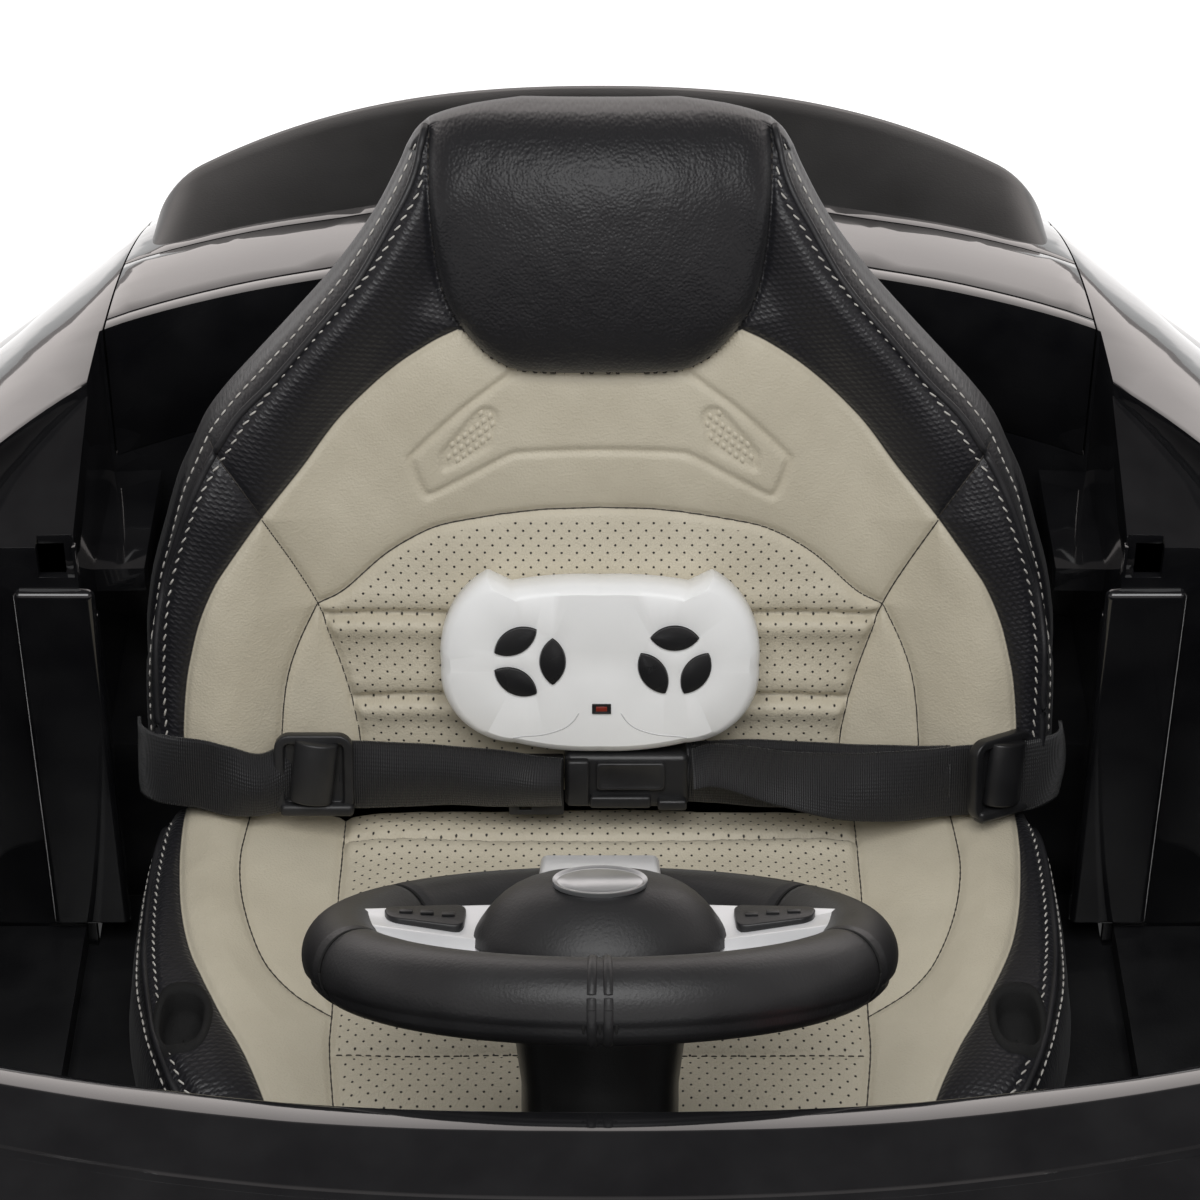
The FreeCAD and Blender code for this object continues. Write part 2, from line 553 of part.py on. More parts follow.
def dash_profile(x):
    """Side outline of the dashboard at one x."""
    rear = value("dash_rear_y")
    low = value("dash_bottom_z")
    high = value("cowl_z")
    edge = value("cowl_edge_y")
    return [Vector(x, edge - 34, high + 10), Vector(x, edge - 4, high + 10), Vector(x, edge - 4, high - 13),
            Vector(x, rear - 4, high - 55), Vector(x, rear + 2, high - 66), Vector(x, rear - 12, low),
            Vector(x, edge - 34, low)]


def dashboard():
    """Dashboard under the cowl, fitted to the lining of the body form."""
    half = value("floor_half_width - 2")
    block = prism(dash_profile(-half), Vector(2 * half, 0, 0)).common(LINING)
    pocket = Part.makeBox(value("switch_length") + 1.6, value("switch_width") + 1.6, 24,
                          Vector(-value("switch_length") / 2 - 0.8, -value("switch_width") / 2 - 0.8, -8))
    pocket.Placement = Placement(SWITCH_AT, SWITCH_TURN)
    pin_reach = value("switch_length / 2 + 4")
    pin_hole = Part.makeCylinder(value("switch_pin_radius + running_fit"), 2 * pin_reach,
                                 SWITCH_AT - Vector(pin_reach, 0, 0), Vector(1, 0, 0))
    tilt = math.radians(value("column_tilt"))
    up_column = Vector(0, math.sin(tilt), math.cos(tilt))
    column_room = Part.makeCylinder(value("column_radius + 4"), 300, WHEEL_CENTRE - up_column * 300,
                                    up_column)
    return largest(block.cut([pocket, pin_hole, column_room]))


SWITCH_AT = Vector(value("switch_x"), 0.5 * (value("cowl_edge_y") + value("dash_rear_y")) - 4,
                   value("cowl_z - 34"))
WHEEL_CENTRE = Vector(0, value("wheel_centre_y"), value("wheel_centre_z"))
feature("dashboard", dashboard())
switch = primitive("Box", "switch_block", (SWITCH_AT.x - value("switch_length") / 2,
                   SWITCH_AT.y - value("switch_width") / 2 * math.cos(math.radians(45))
                   - 4 * math.sin(math.radians(45)),
                   SWITCH_AT.z + value("switch_width") / 2 * math.sin(math.radians(45))
                   - 4 * math.cos(math.radians(45))), SWITCH_TURN,
                   Length="switch_length", Width="switch_width", Height="9")
switch_round = fillet("drive_switch_round", switch, "2", lambda e: True)
switch_pin = cylinder("switch_pin", ("switch_x - switch_length / 2 - 3", str(SWITCH_AT.y), str(SWITCH_AT.z)),
                      "switch_pin_radius", "switch_length + 6", ALONG_X)
node("drive_switch", fuse("drive_switch_fuse", switch_round, switch_pin))

# Chassis pan with its steering beam, pedal lugs and axle carriers
FLOOR_TOP = "floor_z + floor_thickness"
COLUMN_TURN = Rotation(Vector(1, 0, 0), -value("column_tilt"))


def on_column(x, rear, up):
    """Place in the steering wheel's own directions: across, towards the driver, up the column."""
    return (x, "wheel_centre_y + (%s) * cos(column_tilt) + (%s) * sin(column_tilt)" % (rear, up),
            "wheel_centre_z - (%s) * sin(column_tilt) + (%s) * cos(column_tilt)" % (rear, up))


def mirrored_boxes(name, x, y, z):
    """Two boxes, one on each side of the car."""
    return [box(name + "_a", x, y, z), box(name + "_b", ("-(%s)" % x[1], "-(%s)" % x[0]), y, z)]


PEDAL_X = "-110"
PEDAL_Z = "floor_z + floor_thickness + 12"
beam_y = ("front_axle_y - beam_width / 2", "front_axle_y + beam_width / 2")
pan_items = [
    box("pan_floor", ("-floor_half_width", "floor_half_width"), ("firewall_y", "rear_split_y - panel_gap"),
        ("floor_z", FLOOR_TOP)),
    box("pan_floor_rear", ("-rear_well_x", "rear_well_x"), ("rear_split_y - panel_gap - 1", "floor_rear_y"),
        ("floor_z", FLOOR_TOP)),
    box("pan_firewall", ("2 - floor_half_width", "floor_half_width - 2"), ("firewall_y", "firewall_y + wall"),
        ("floor_z", "firewall_z")),
    box("pan_plate", ("-front_well_x", "front_well_x"), ("bumper_split_y + 4", "firewall_y + wall"),
        ("front_plate_z", "front_plate_z + 5")),
    box("pan_beam", ("-kingpin_x - 9", "kingpin_x + 9"), beam_y,
        ("front_beam_z", "front_beam_z + beam_thickness")),
    box("pan_ears", ("-kingpin_x - 9", "kingpin_x + 9"), beam_y, ("front_plate_z", "front_plate_z + 5")),
    box("pan_back_wall", ("-rear_well_x", "rear_well_x"), ("floor_rear_y - wall", "floor_rear_y"),
        ("floor_z", "carrier_top_z")),
    box("pan_shelf", ("-rear_well_x", "rear_well_x"), ("floor_rear_y - wall", "carrier_rear_y"),
        ("carrier_top_z - floor_thickness", "carrier_top_z")),
    box("pan_tail_wall", ("-rear_well_x", "rear_well_x"), ("carrier_rear_y - wall", "carrier_rear_y"),
        ("floor_z - 12", "carrier_top_z")),
]
pan_items += mirrored_boxes("pan_step", ("floor_half_width", "floor_half_width + wall"),
                            ("front_split_y + panel_gap", "rear_split_y - panel_gap"),
                            ("floor_z", "sill_top_z"))
pan_items += mirrored_boxes("pan_flange", ("floor_half_width", "cockpit_half_width"),
                            ("front_split_y + panel_gap", "rear_split_y - panel_gap"),
                            ("sill_top_z - floor_thickness", "sill_top_z"))
pan_items += mirrored_boxes("pan_web", ("kingpin_x - 75", "kingpin_x - 69"), beam_y,
                            ("front_beam_z", "front_plate_z + 1"))
pan_items += mirrored_boxes("pan_rail", ("120", "130"), ("firewall_y", "floor_rear_y"),
                            ("floor_z - 26", "floor_z + 1"))
pan_items += mirrored_boxes("pan_carrier", ("rear_well_x - floor_thickness", "rear_well_x"),
                            ("floor_rear_y - wall", "carrier_rear_y"), ("floor_z - 12", "carrier_top_z"))
for side in ("-", "+"):
    lug_x = PEDAL_X + side + "(pedal_width / 2 + 4)"
    pan_items.append(box("pan_lug" + ("_in" if side == "+" else "_out"), (lug_x + " - 3", lug_x + " + 3"),
                         ("pedal_y - 9", "pedal_y + 9"), (FLOOR_TOP + " - 1", PEDAL_Z + " + 8")))
pan_holes = [
    cylinder("pan_shaft_hole", on_column("0", "0", "-330"), "shaft_radius + clearance", "330", COLUMN_TURN),
    cylinder("pan_pedal_hole", (PEDAL_X + " - 60", "pedal_y", PEDAL_Z), "pedal_pin_radius + running_fit",
             "120", ALONG_X),
    cylinder("pan_axle_hole", ("-250", "rear_axle_y", "wheel_radius"), "drive_boss_radius + 3", "500",
             ALONG_X),
]
for side in ("-", ""):
    pan_holes.append(cylinder("pan_kingpin" + ("_b" if side else "_a"),
                              (side + "kingpin_x", "front_axle_y", "front_beam_z - 5"),
                              "kingpin_radius + running_fit", "front_plate_z - front_beam_z + 20"))
node("chassis_pan", cut("chassis_cut", fuse("chassis_fuse", *pan_items), *pan_holes))

# Pedal on its pin
PEDAL_TURN = Rotation(Vector(1, 0, 0), -40)
plate = primitive("Box", "pedal_plate", (PEDAL_X + " - pedal_width / 2", "pedal_y - pedal_length * cos(40)",
                  PEDAL_Z + " + pedal_length * sin(40)"), PEDAL_TURN,
                  Length="pedal_width", Width="pedal_length", Height="7")
plate_round = fillet("pedal_plate_round", plate, "3", lambda e: not along(e, 0))
pedal_pin = cylinder("pedal_pin", (PEDAL_X + " - pedal_width / 2 - 7", "pedal_y", PEDAL_Z),
                     "pedal_pin_radius",
                     "pedal_width + 14", ALONG_X)
pedal_boss = cylinder("pedal_boss", (PEDAL_X + " - pedal_width / 2", "pedal_y", PEDAL_Z),
                      "pedal_pin_radius + 3",
                      "pedal_width", ALONG_X)
node("pedal", fuse("pedal_fuse", plate_round, pedal_pin, pedal_boss))

# Steering wheel, shaft and column
CRANK_UP = "-(wheel_centre_z - floor_z + 8) / cos(column_tilt)"
rim = primitive("Torus", "rim_ring", on_column("0", "0", "0"), COLUMN_TURN, Radius1="rim_radius",
                Radius2="rim_section")
node("steering_rim", rim)
dome = primitive("Ellipsoid", "hub_dome_ball", on_column("0", "0", "-2"), COLUMN_TURN, Radius1="hub_dome",
                 Radius2="hub_half_width", Radius3="hub_half_width * 0.84", Angle1="0")
collar = cylinder("hub_collar", on_column("0", "0", "-20"), "column_radius + 2", "10.7", COLUMN_TURN)
hub_bore = cylinder("hub_bore", on_column("0", "0", "-30"), "shaft_radius + running_fit", "40", COLUMN_TURN)
hub_neck = cylinder("hub_neck", on_column("0", "0", "-12"), "shaft_radius + 5", "12", COLUMN_TURN)
node("steering_hub", cut("hub_cut", fuse("hub_fuse", dome, collar, hub_neck), hub_bore))
spoke_disc = cylinder("spoke_disc", on_column("0", "0", "-9"), "hub_half_width * 0.8", "6.7", COLUMN_TURN)
spoke_bars = []
for side, turn in (("", -90), ("-", 90)):
    spoke_bars.append(primitive(
        "Wedge", "spoke_bar_" + ("b" if side else "a"), on_column(side + "(hub_half_width + 1)", "0", "0"),
        COLUMN_TURN.multiply(Rotation(Vector(0, 0, 1), turn)),
        Xmin="-spoke_width / 2", Xmax="spoke_width / 2", X2min="-spoke_width / 2", X2max="spoke_width / 2",
        Ymin="0", Ymax="rim_radius - hub_half_width - 1",
        Zmin="-9", Zmax="spoke_top", Z2min="spoke_top - spoke_tip", Z2max="spoke_top"))
spoke_web = primitive("Box", "spoke_web", on_column("-rim_radius", "-spoke_width / 2", "-9"), COLUMN_TURN,
                      Length="2 * rim_radius", Width="spoke_width", Height="6")
spoke_low = primitive("Box", "spoke_low", on_column("-spoke_low_width / 2", "0", "-9"), COLUMN_TURN,
                      Length="spoke_low_width", Width="rim_radius", Height="6")
spoke_cap = primitive("Box", "spoke_cap", on_column("-spoke_low_width / 2", "hub_half_width", "-9"),
                      COLUMN_TURN,
                      Length="spoke_low_width", Width="rim_radius - hub_half_width + 4",
                      Height="9 + spoke_cap_height")
rim_room = primitive("Torus", "rim_room", on_column("0", "0", "0"), COLUMN_TURN, Radius1="rim_radius",
                     Radius2="rim_section + clearance")
neck_room = cylinder("neck_room", on_column("0", "0", "-20"), "shaft_radius + 5 + clearance", "30",
                     COLUMN_TURN)
pads = []
pad_rooms = []
for side in ("", "-"):
    tag = "b" if side else "a"
    start = side + "spoke_pad_x - spoke_pad_length / 2"
    pads.append(primitive("Box", "pad_block_" + tag, on_column(start, "-spoke_pad_width / 2",
                                                               "spoke_pad_low"),
                          COLUMN_TURN, Length="spoke_pad_length", Width="spoke_pad_width",
                          Height="spoke_pad_height"))
    pad_rooms.append(primitive("Box", "pad_room_" + tag,
                               on_column(start + " - 0.4", "-spoke_pad_width / 2 - 0.4",
                                         "spoke_pad_low - 0.5 - spoke_pad_travel"),
                               COLUMN_TURN, Length="spoke_pad_length + 0.8", Width="spoke_pad_width + 0.8",
                               Height="spoke_pad_height + 5"))
node("steering_spokes", cut("spokes_cut", fuse("spokes_fuse", spoke_disc, spoke_web, spoke_low, spoke_cap,
                                               *spoke_bars),
                            rim_room, neck_room, *pad_rooms))
node("spoke_pad_left", fillet("pad_round_a", pads[0], "1.5", lambda e: True))
node("spoke_pad_right", fillet("pad_round_b", pads[1], "1.5", lambda e: True))
shaft_rod = cylinder("shaft_rod", on_column("0", "0", CRANK_UP + " - 5"), "shaft_radius",
                     "-4 + 5 - (%s)" % CRANK_UP, COLUMN_TURN)
crank_turn = COLUMN_TURN.multiply(Rotation(Vector(1, 0, 0), -90))
shaft_crank = cylinder("shaft_crank", on_column("0", "0", CRANK_UP), "5.5", "crank_arm + 6", crank_turn)
shaft_pin = cylinder("shaft_pin", on_column("0", "crank_arm", CRANK_UP + " - 18"), "link_pin_radius", "23",
                     COLUMN_TURN)
node("steering_shaft", fuse("shaft_fuse", shaft_rod, shaft_crank, shaft_pin))
column = cylinder("column_tube", on_column("0", "0", "-290"), "column_radius", "290 - 30", COLUMN_TURN)
column_top = primitive("Cone", "column_top", on_column("0", "0", "-44"), COLUMN_TURN, Radius1="column_radius",
                       Radius2="column_radius + 3", Height="44 - 23")
column_bore = cylinder("column_bore", on_column("0", "0", "-320"), "shaft_radius + running_fit", "320",
                       COLUMN_TURN)
below_floor = box("below_floor", ("-80", "80"), ("-260", "60"), ("-60", FLOOR_TOP))
past_firewall = box("past_firewall", ("-80", "80"), ("firewall_y - 60", "firewall_y + wall + clearance"),
                    ("-60", "firewall_z"))
node("column_cover", cut("column_cut", fuse("column_fuse", column, column_top), column_bore, below_floor,
                         past_firewall))

# Knuckles and tie rod
king = ("kingpin_x", "front_axle_y")
knuckle_items = [
    cylinder("knuckle_body", king + ("front_beam_z + beam_thickness + clearance",), "knuckle_radius",
             "front_plate_z - front_beam_z - beam_thickness - 2 * clearance"),
    cylinder("knuckle_pin", king + ("arm_z",), "kingpin_radius", "front_plate_z + 5 - arm_z"),
    cylinder("knuckle_foot", king + ("arm_z",), "knuckle_radius", "6"),
    box("knuckle_lever", ("kingpin_x - arm_width / 2", "kingpin_x + arm_width / 2"),
        ("front_axle_y", "front_axle_y + knuckle_arm"), ("arm_z", "arm_z + 6")),
    cylinder("knuckle_end", ("kingpin_x", "front_axle_y + knuckle_arm", "arm_z"), "arm_width / 2", "6"),
    cylinder("knuckle_link", ("kingpin_x", "front_axle_y + knuckle_arm", "tie_z - 3"), "link_pin_radius",
             "arm_z - tie_z + 4"),
    cylinder("knuckle_spindle", ("kingpin_x", "front_axle_y", "wheel_radius"), "spindle_radius",
             "half_track + wheel_width / 2 - cap_depth - 1 - kingpin_x", ALONG_X),
]
pair("knuckle", fuse("knuckle_fuse", *knuckle_items))
LINK_Y = "front_axle_y + knuckle_arm"
TILT = math.radians(value("column_tilt"))
PIN_DROP = value("wheel_centre_z - tie_z - tie_thickness / 2") - value("crank_arm") * math.sin(TILT)
PIN_Y = value("wheel_centre_y") - PIN_DROP * math.tan(TILT) + value("crank_arm") * math.cos(TILT)
tie_z = ("tie_z", "tie_z + tie_thickness")
tie_items = [box("tie_bar", ("-kingpin_x - 10", "kingpin_x + 10"), (LINK_Y + " - 11", LINK_Y + " + 9"),
                 tie_z),
             box("tie_tongue", ("-link_pin_radius - 9", "link_pin_radius + 9"), (LINK_Y, str(PIN_Y + 15)),
                 tie_z)]
slot_z = ("tie_z - 2", "tie_z + tie_thickness + 2")
tie_slots = [box("tie_slot_mid", ("-link_pin_radius - steer_slack", "link_pin_radius + steer_slack"),
                 (str(PIN_Y - 15), str(PIN_Y + 7)), slot_z)]
tie_slots += mirrored_boxes("tie_slot", ("kingpin_x - link_pin_radius - 0.7",
                                         "kingpin_x + link_pin_radius + 0.7"),
                            (LINK_Y + " - link_pin_radius - 3.4", LINK_Y + " + link_pin_radius + 0.7"),
                            slot_z)
node("tie_rod", cut("tie_cut", fuse("tie_fuse", *tie_items), *tie_slots))


# Wheels turned in one piece, with pressed-in caps
def polygon_sketch(body, plane, name, points):
    """Closed outline whose corners are bound to expressions."""
    sketch = body.newObject("Sketcher::SketchObject", name)
    base = [f for f in body.Origin.OriginFeatures if f.Role == plane][0]
    sketch.AttachmentSupport = [(base, "")]
    sketch.MapMode = "FlatFace"
    spots = [Vector(value(x), value(y), 0) for x, y in points]
    count = len(spots)
    for i in range(count):
        sketch.addGeometry(Part.LineSegment(spots[i], spots[(i + 1) % count]), False)
    for i in range(count):
        sketch.addConstraint(Sketcher.Constraint("Coincident", i, 2, (i + 1) % count, 1))
    for i, (x, y) in enumerate(points):
        for kind, text, amount in (("DistanceX", x, spots[i].x), ("DistanceY", y, spots[i].y)):
            if abs(amount) < 1e-9:
                axis = -2 if kind == "DistanceX" else -1
                sketch.addConstraint(Sketcher.Constraint("PointOnObject", i, 1, axis))
            else:
                index = sketch.addConstraint(Sketcher.Constraint(kind, -1, 1, i, 1, amount))
                sketch.setExpression("Constraints[%d]" % index, expand(text))
    return sketch


def turned(name, points):
    """Body turned about the x axis from an outline of (along, radius)."""
    body = doc.addObject("PartDesign::Body", name)
    sketch = polygon_sketch(body, "XZ_Plane", name + "_outline", points)
    turn = body.newObject("PartDesign::Revolution", name + "_turn")
    turn.Profile = sketch
    turn.ReferenceAxis = (sketch, ["H_Axis"])
    turn.Angle = 360
    return body


def wheel(name, axle_y, bore, boss, boss_radius):
    """Wheel with tread grooves, hollow back and cap recess; boss is how far the hub reaches inwards."""
    def at(text):
        return "(%s) + (%s)" % (boss, text)
    deep = "wheel_radius - tread_groove"
    web = "wheel_width - cap_depth"
    points = [("0", bore), ("0", boss_radius), (at(web + " - 12"), boss_radius),
              (at(web + " - 12"), "wheel_radius - tyre_depth"), (at("0"), "wheel_radius - tyre_depth"),
              (at("0"), "wheel_radius - 9"), (at("8"), "wheel_radius")]
    for groove in ("wheel_width * 0.3", "wheel_width * 0.5", "wheel_width * 0.7"):
        points += [(at(groove + " - 2.5"), "wheel_radius"), (at(groove + " - 1.5"), deep),
                   (at(groove + " + 1.5"), deep), (at(groove + " + 2.5"), "wheel_radius")]
    points += [(at("wheel_width - 8"), "wheel_radius"), (at("wheel_width"), "wheel_radius - 9"),
               (at("wheel_width"), "cap_radius + clearance"), (at(web), "cap_radius + clearance"),
               (at(web), bore)]
    body = turned(name, points)
    for axis, text in zip("xyz", ("half_track - wheel_width / 2 - (%s)" % boss, axle_y, "wheel_radius")):
        body.setExpression("Placement.Base." + axis, expand(text))
    return body


def hub_cap(name, axle_y):
    """Domed cap with a ring of windows between its spokes."""
    points = [("0", "0"), ("0", "cap_radius"), ("4", "cap_radius"), ("cap_depth - 4", "cap_radius * 0.8"),
              ("cap_depth - 1", "cap_radius * 0.42"), ("cap_depth", "cap_radius * 0.24"), ("cap_depth", "0")]
    body = turned(name, points)
    outline = polygon_sketch(body, "YZ_Plane", name + "_window",
                             [("2", "cap_radius * 0.44"), ("cap_radius * 0.13", "cap_radius * 0.44"),
                              ("cap_radius * 0.3", "cap_radius * 0.86"), ("2", "cap_radius * 0.86")])
    doc.recompute()
    pocket = body.newObject("PartDesign::Pocket", name + "_pocket")
    pocket.Profile = outline
    pocket.Type = "ThroughAll"
    pocket.Midplane = True
    doc.recompute()
    ring = body.newObject("PartDesign::PolarPattern", name + "_ring")
    ring.Originals = [pocket]
    ring.Axis = (outline, ["N_Axis"])
    ring.Angle = 360
    ring.setExpression("Occurrences", expand("spoke_count"))
    body.Tip = ring
    for axis, text in zip("xyz", ("half_track + wheel_width / 2 - cap_depth + clearance", axle_y,
                                  "wheel_radius")):
        body.setExpression("Placement.Base." + axis, expand(text))
    return body


for end, axle_y, bore, boss, boss_radius in (
        ("front", "front_axle_y", "spindle_radius + running_fit", "0", "hub_radius * 0.8"),
        ("rear", "rear_axle_y", "axle_radius + running_fit",
         "half_track - wheel_width / 2 - rear_well_x + floor_thickness + 2", "drive_boss_radius")):
    pair("wheel_" + end, wheel("turned_wheel_" + end, axle_y, bore, boss, boss_radius))
    pair("hub_cap_" + end, hub_cap("domed_cap_" + end, axle_y))

# Drive: axle, gearboxes, motors, battery and control box
node("rear_axle", cylinder("axle_rod", ("-half_track - wheel_width / 2 + cap_depth + 1", "rear_axle_y",
                                        "wheel_radius"),
                           "axle_radius", "2 * half_track + wheel_width - 2 * cap_depth - 2", ALONG_X))
GEAR_X = "rear_well_x - floor_thickness"
MOTOR = ("rear_axle_y - gearbox_radius * 0.8", "wheel_radius + gearbox_radius * 0.55")
gear_case = cylinder("gear_case", (GEAR_X + " - gearbox_width", "rear_axle_y", "wheel_radius"),
                     "gearbox_radius",
                     "gearbox_width", ALONG_X)
gear_head = cylinder("gear_head", (GEAR_X + " - gearbox_width",) + MOTOR, "motor_radius + 6",
                     "gearbox_width", ALONG_X)
gear_recess = cylinder("gear_recess", (GEAR_X + " - 4", "rear_axle_y", "wheel_radius"),
                       "drive_boss_radius + clearance", "10", ALONG_X)
gear_bore = cylinder("gear_bore", (GEAR_X + " - 100", "rear_axle_y", "wheel_radius"),
                     "axle_radius + running_fit", "200", ALONG_X)
pair("gearbox", cut("gearbox_cut", fuse("gearbox_fuse", gear_case, gear_head), gear_recess, gear_bore))
motor_can = cylinder("motor_can", (GEAR_X + " - gearbox_width - motor_length",) + MOTOR, "motor_radius",
                     "motor_length", ALONG_X)
motor_end = cylinder("motor_end", (GEAR_X + " - gearbox_width - motor_length - 6",) + MOTOR,
                     "motor_radius * 0.4", "7", ALONG_X)
pair("motor", fuse("motor_fuse", motor_can, motor_end))
SHELF = "carrier_top_z"
battery_block = box("battery_block", ("-battery_length / 2", "battery_length / 2"),
                    ("carrier_rear_y - 1 - battery_width", "carrier_rear_y - 1"),
                    (SHELF, SHELF + " + battery_height"))
node("battery", fillet("battery_round", battery_block, "4", lambda e: along(e, 2)))
control_block = box("control_block", ("battery_length / 2 + 20", "battery_length / 2 + 90"),
                    ("carrier_rear_y - 65", "carrier_rear_y - 5"), (SHELF, SHELF + " + 34"))
node("control_box", fillet("control_round", control_block, "3", lambda e: along(e, 2)))

# Grille that sits in the bumper's opening
grille_half = "grille_half_width - clearance"
grille_low = "grille_z - grille_height / 2 + clearance"
grille_high = "grille_z + grille_height / 2 - clearance"
frame_box = box("grille_frame", ("-(%s)" % grille_half, grille_half),
                ("0.6 - overall_length / 2", "wall + 9 - overall_length / 2"),
                (grille_low, grille_high))
slots = []
for k in range(4):
    step = "(grille_height - 2 * clearance - 6) / 4"
    slots.append(box("grille_slot_%d" % k, ("6 - (%s)" % grille_half, grille_half + " - 6"),
                     ("-5 - overall_length / 2", "wall + 5 - overall_length / 2"),
                     ("%s + 5 + %d * %s" % (grille_low, k, step),
                      "%s + 1 + %d * %s" % (grille_low, k + 1, step))))
node("grille", cut("grille_cut", frame_box, *slots))

# Seat shell, cushion and backrest
RECLINE = math.radians(value("recline"))
BACK_TURN = Rotation(Vector(1, 0, 0), -value("recline"))
CREASE = Vector(0, value("crease_y"), value("crease_z"))
UP_BACK = Vector(0, math.sin(RECLINE), math.cos(RECLINE))
OUT_BACK = Vector(0, -math.cos(RECLINE), math.sin(RECLINE))


def on_back(x, out, up):
    """Place on the seat back: across, out from its face, up along it."""
    return (x, "crease_y - (%s) * cos(recline) + (%s) * sin(recline)" % (out, up),
            "crease_z + (%s) * sin(recline) + (%s) * cos(recline)" % (out, up))


def back_point(x, out, up):
    """Point on the seat back: across, out from its face, up along it."""
    return CREASE + Vector(x, 0, 0) + OUT_BACK * out + UP_BACK * up


SEAT_BASE = value("crease_z - cushion_thickness")


def seat_shell():
    """Hollow seat base with the back plate that carries the backrest."""
    half = value("shell_half_width")
    thick = value("shell_thickness")
    front = value("crease_y - cushion_length + 16")
    rear = value("crease_y + back_thickness")
    floor = value(FLOOR_TOP)
    base = solid_box(-half, half, front, rear, floor, SEAT_BASE)
    hollow = solid_box(thick - half, half - thick, front + thick, rear - thick, floor - 1, SEAT_BASE - thick)
    back = value("back_thickness") + SLACK
    wall = solid_box(-half, half, rear - thick, rear, SEAT_BASE - 2, value("crease_z") - 12)
    length = value("back_length")
    top = value("headrest_half_width - 25")
    neck = value("neck_half_width - 24")
    outline = [(-half, -2), (half, -2), (half - 10, 0.31 * length), (neck, 0.66 * length),
               (top, 0.91 * length),
               (-top, 0.91 * length), (-neck, 0.66 * length), (10 - half, 0.31 * length)]
    plate = prism([back_point(x, -back, up) for x, up in outline], OUT_BACK * -thick)
    return base.cut(hollow).fuse([wall, plate]).removeSplitter()


feature("seat_shell", seat_shell())
back_width = line_through((0, value("seat_half_width + 2")), (90, value("seat_half_width")),
                          (150, value("shoulder_half_width")), (205, value("neck_half_width")),
                          (266, value("headrest_half_width")),
                          (value("back_length"), value("headrest_half_width - 18")))
back_swell = line_through((0, 0), (150, 1), (176, 2), (200, 12), (262, 13), (value("back_length"), -12))
back_bolster = line_through((0, value("bolster")), (140, value("bolster")), (200, 9), (250, 5),
                            (value("back_length"), -16))


def arc(a, b, c):
    """Arc edge through three points."""
    return Part.Arc(a, b, c).toShape()


def padded_section(half, crown, rise, side, base, draw, spot):
    """Closed outline of a pad: bolsters either side of a crowned middle, sides drawn in to a flat base.

    spot turns (across, out) into a point.
    """
    inner = 0.64 * half
    edges = [arc(spot(-inner, crown), spot(0, crown + 2), spot(inner, crown)),
             arc(spot(inner, crown), spot(0.84 * half, rise), spot(half, side)),
             arc(spot(half, side), spot(half + 1, 0.5 * (side + base)), spot(half - draw, base)),
             Part.makeLine(spot(half - draw, base), spot(draw - half, base)),
             arc(spot(draw - half, base), spot(-half - 1, 0.5 * (side + base)), spot(-half, side)),
             arc(spot(-half, side), spot(-0.84 * half, rise), spot(-inner, crown))]
    return Part.Wire(edges)


def seat_backrest():
    """Backrest lofted up the seat back, with its two cross channels."""
    wires = []
    for up in (value("back_foot"), 36, 60, 84, 108, 132, 156, 180, 204, 228, 252, 273, value("back_length")):
        wires.append(padded_section(back_width(up), back_swell(up), back_bolster(up),
                                    -14 + 0.4 * back_swell(up),
                                    -value("back_thickness"), 14,
                                    lambda x, out, up=up: back_point(x, out, up)))
    pad = Part.makeLoft(wires, True, False, False, 3)
    channels = [Part.makeCylinder(3, 2 * half, back_point(-half, 3.5, up), Vector(1, 0, 0))
                for up, half in ((51, 92), (84, 108))]
    return largest(pad.cut(channels))


def seat_cushion():
    """Cushion lofted forwards from the crease, with its cross channel."""
    length = value("cushion_length")
    wide = line_through((0, value("seat_half_width - 5")), (50, value("seat_half_width + 1")),
                        (118, value("seat_half_width - 2")), (155, value("seat_half_width - 12")),
                        (length, value("seat_half_width - 44")))
    fall = line_through((0, 0), (120, 0), (160, -3), (length, -20))
    rise = math.tan(math.radians(value("seat_rise")))
    wires = []
    for q in (3, 30, 58, 86, 114, 140, 166, length):
        top = value("crease_z") + q * rise + fall(q)
        wires.append(padded_section(wide(q), top, top + value("cushion_bolster"), top - 10,
                                    SEAT_BASE + SLACK, 12,
                                    lambda x, out, q=q: Vector(x, value("crease_y") - q, out)))
    pad = Part.makeLoft(wires, True, False, False, 3)
    channel = Part.makeCylinder(3, 190, Vector(-95, value("crease_y") - 143,
                                               value("crease_z") + 143 * rise + 2.5),
                                Vector(1, 0, 0))
    return largest(pad.cut(channel))


feature("seat_backrest", seat_backrest())
feature("seat_cushion", seat_cushion())

# Lap belt across the foot of the backrest
BELT_OUT = "bolster + 0.8 + webbing_thickness"


def belt_piece(name, x, out, low, depth, high):
    """Box on the seat back: x limits, front face, lower edge, depth and height."""
    return primitive("Box", name, on_back(x[0], out, low), BACK_TURN, Length="(%s) - (%s)" % (x[1], x[0]),
                     Width=depth, Height=high)


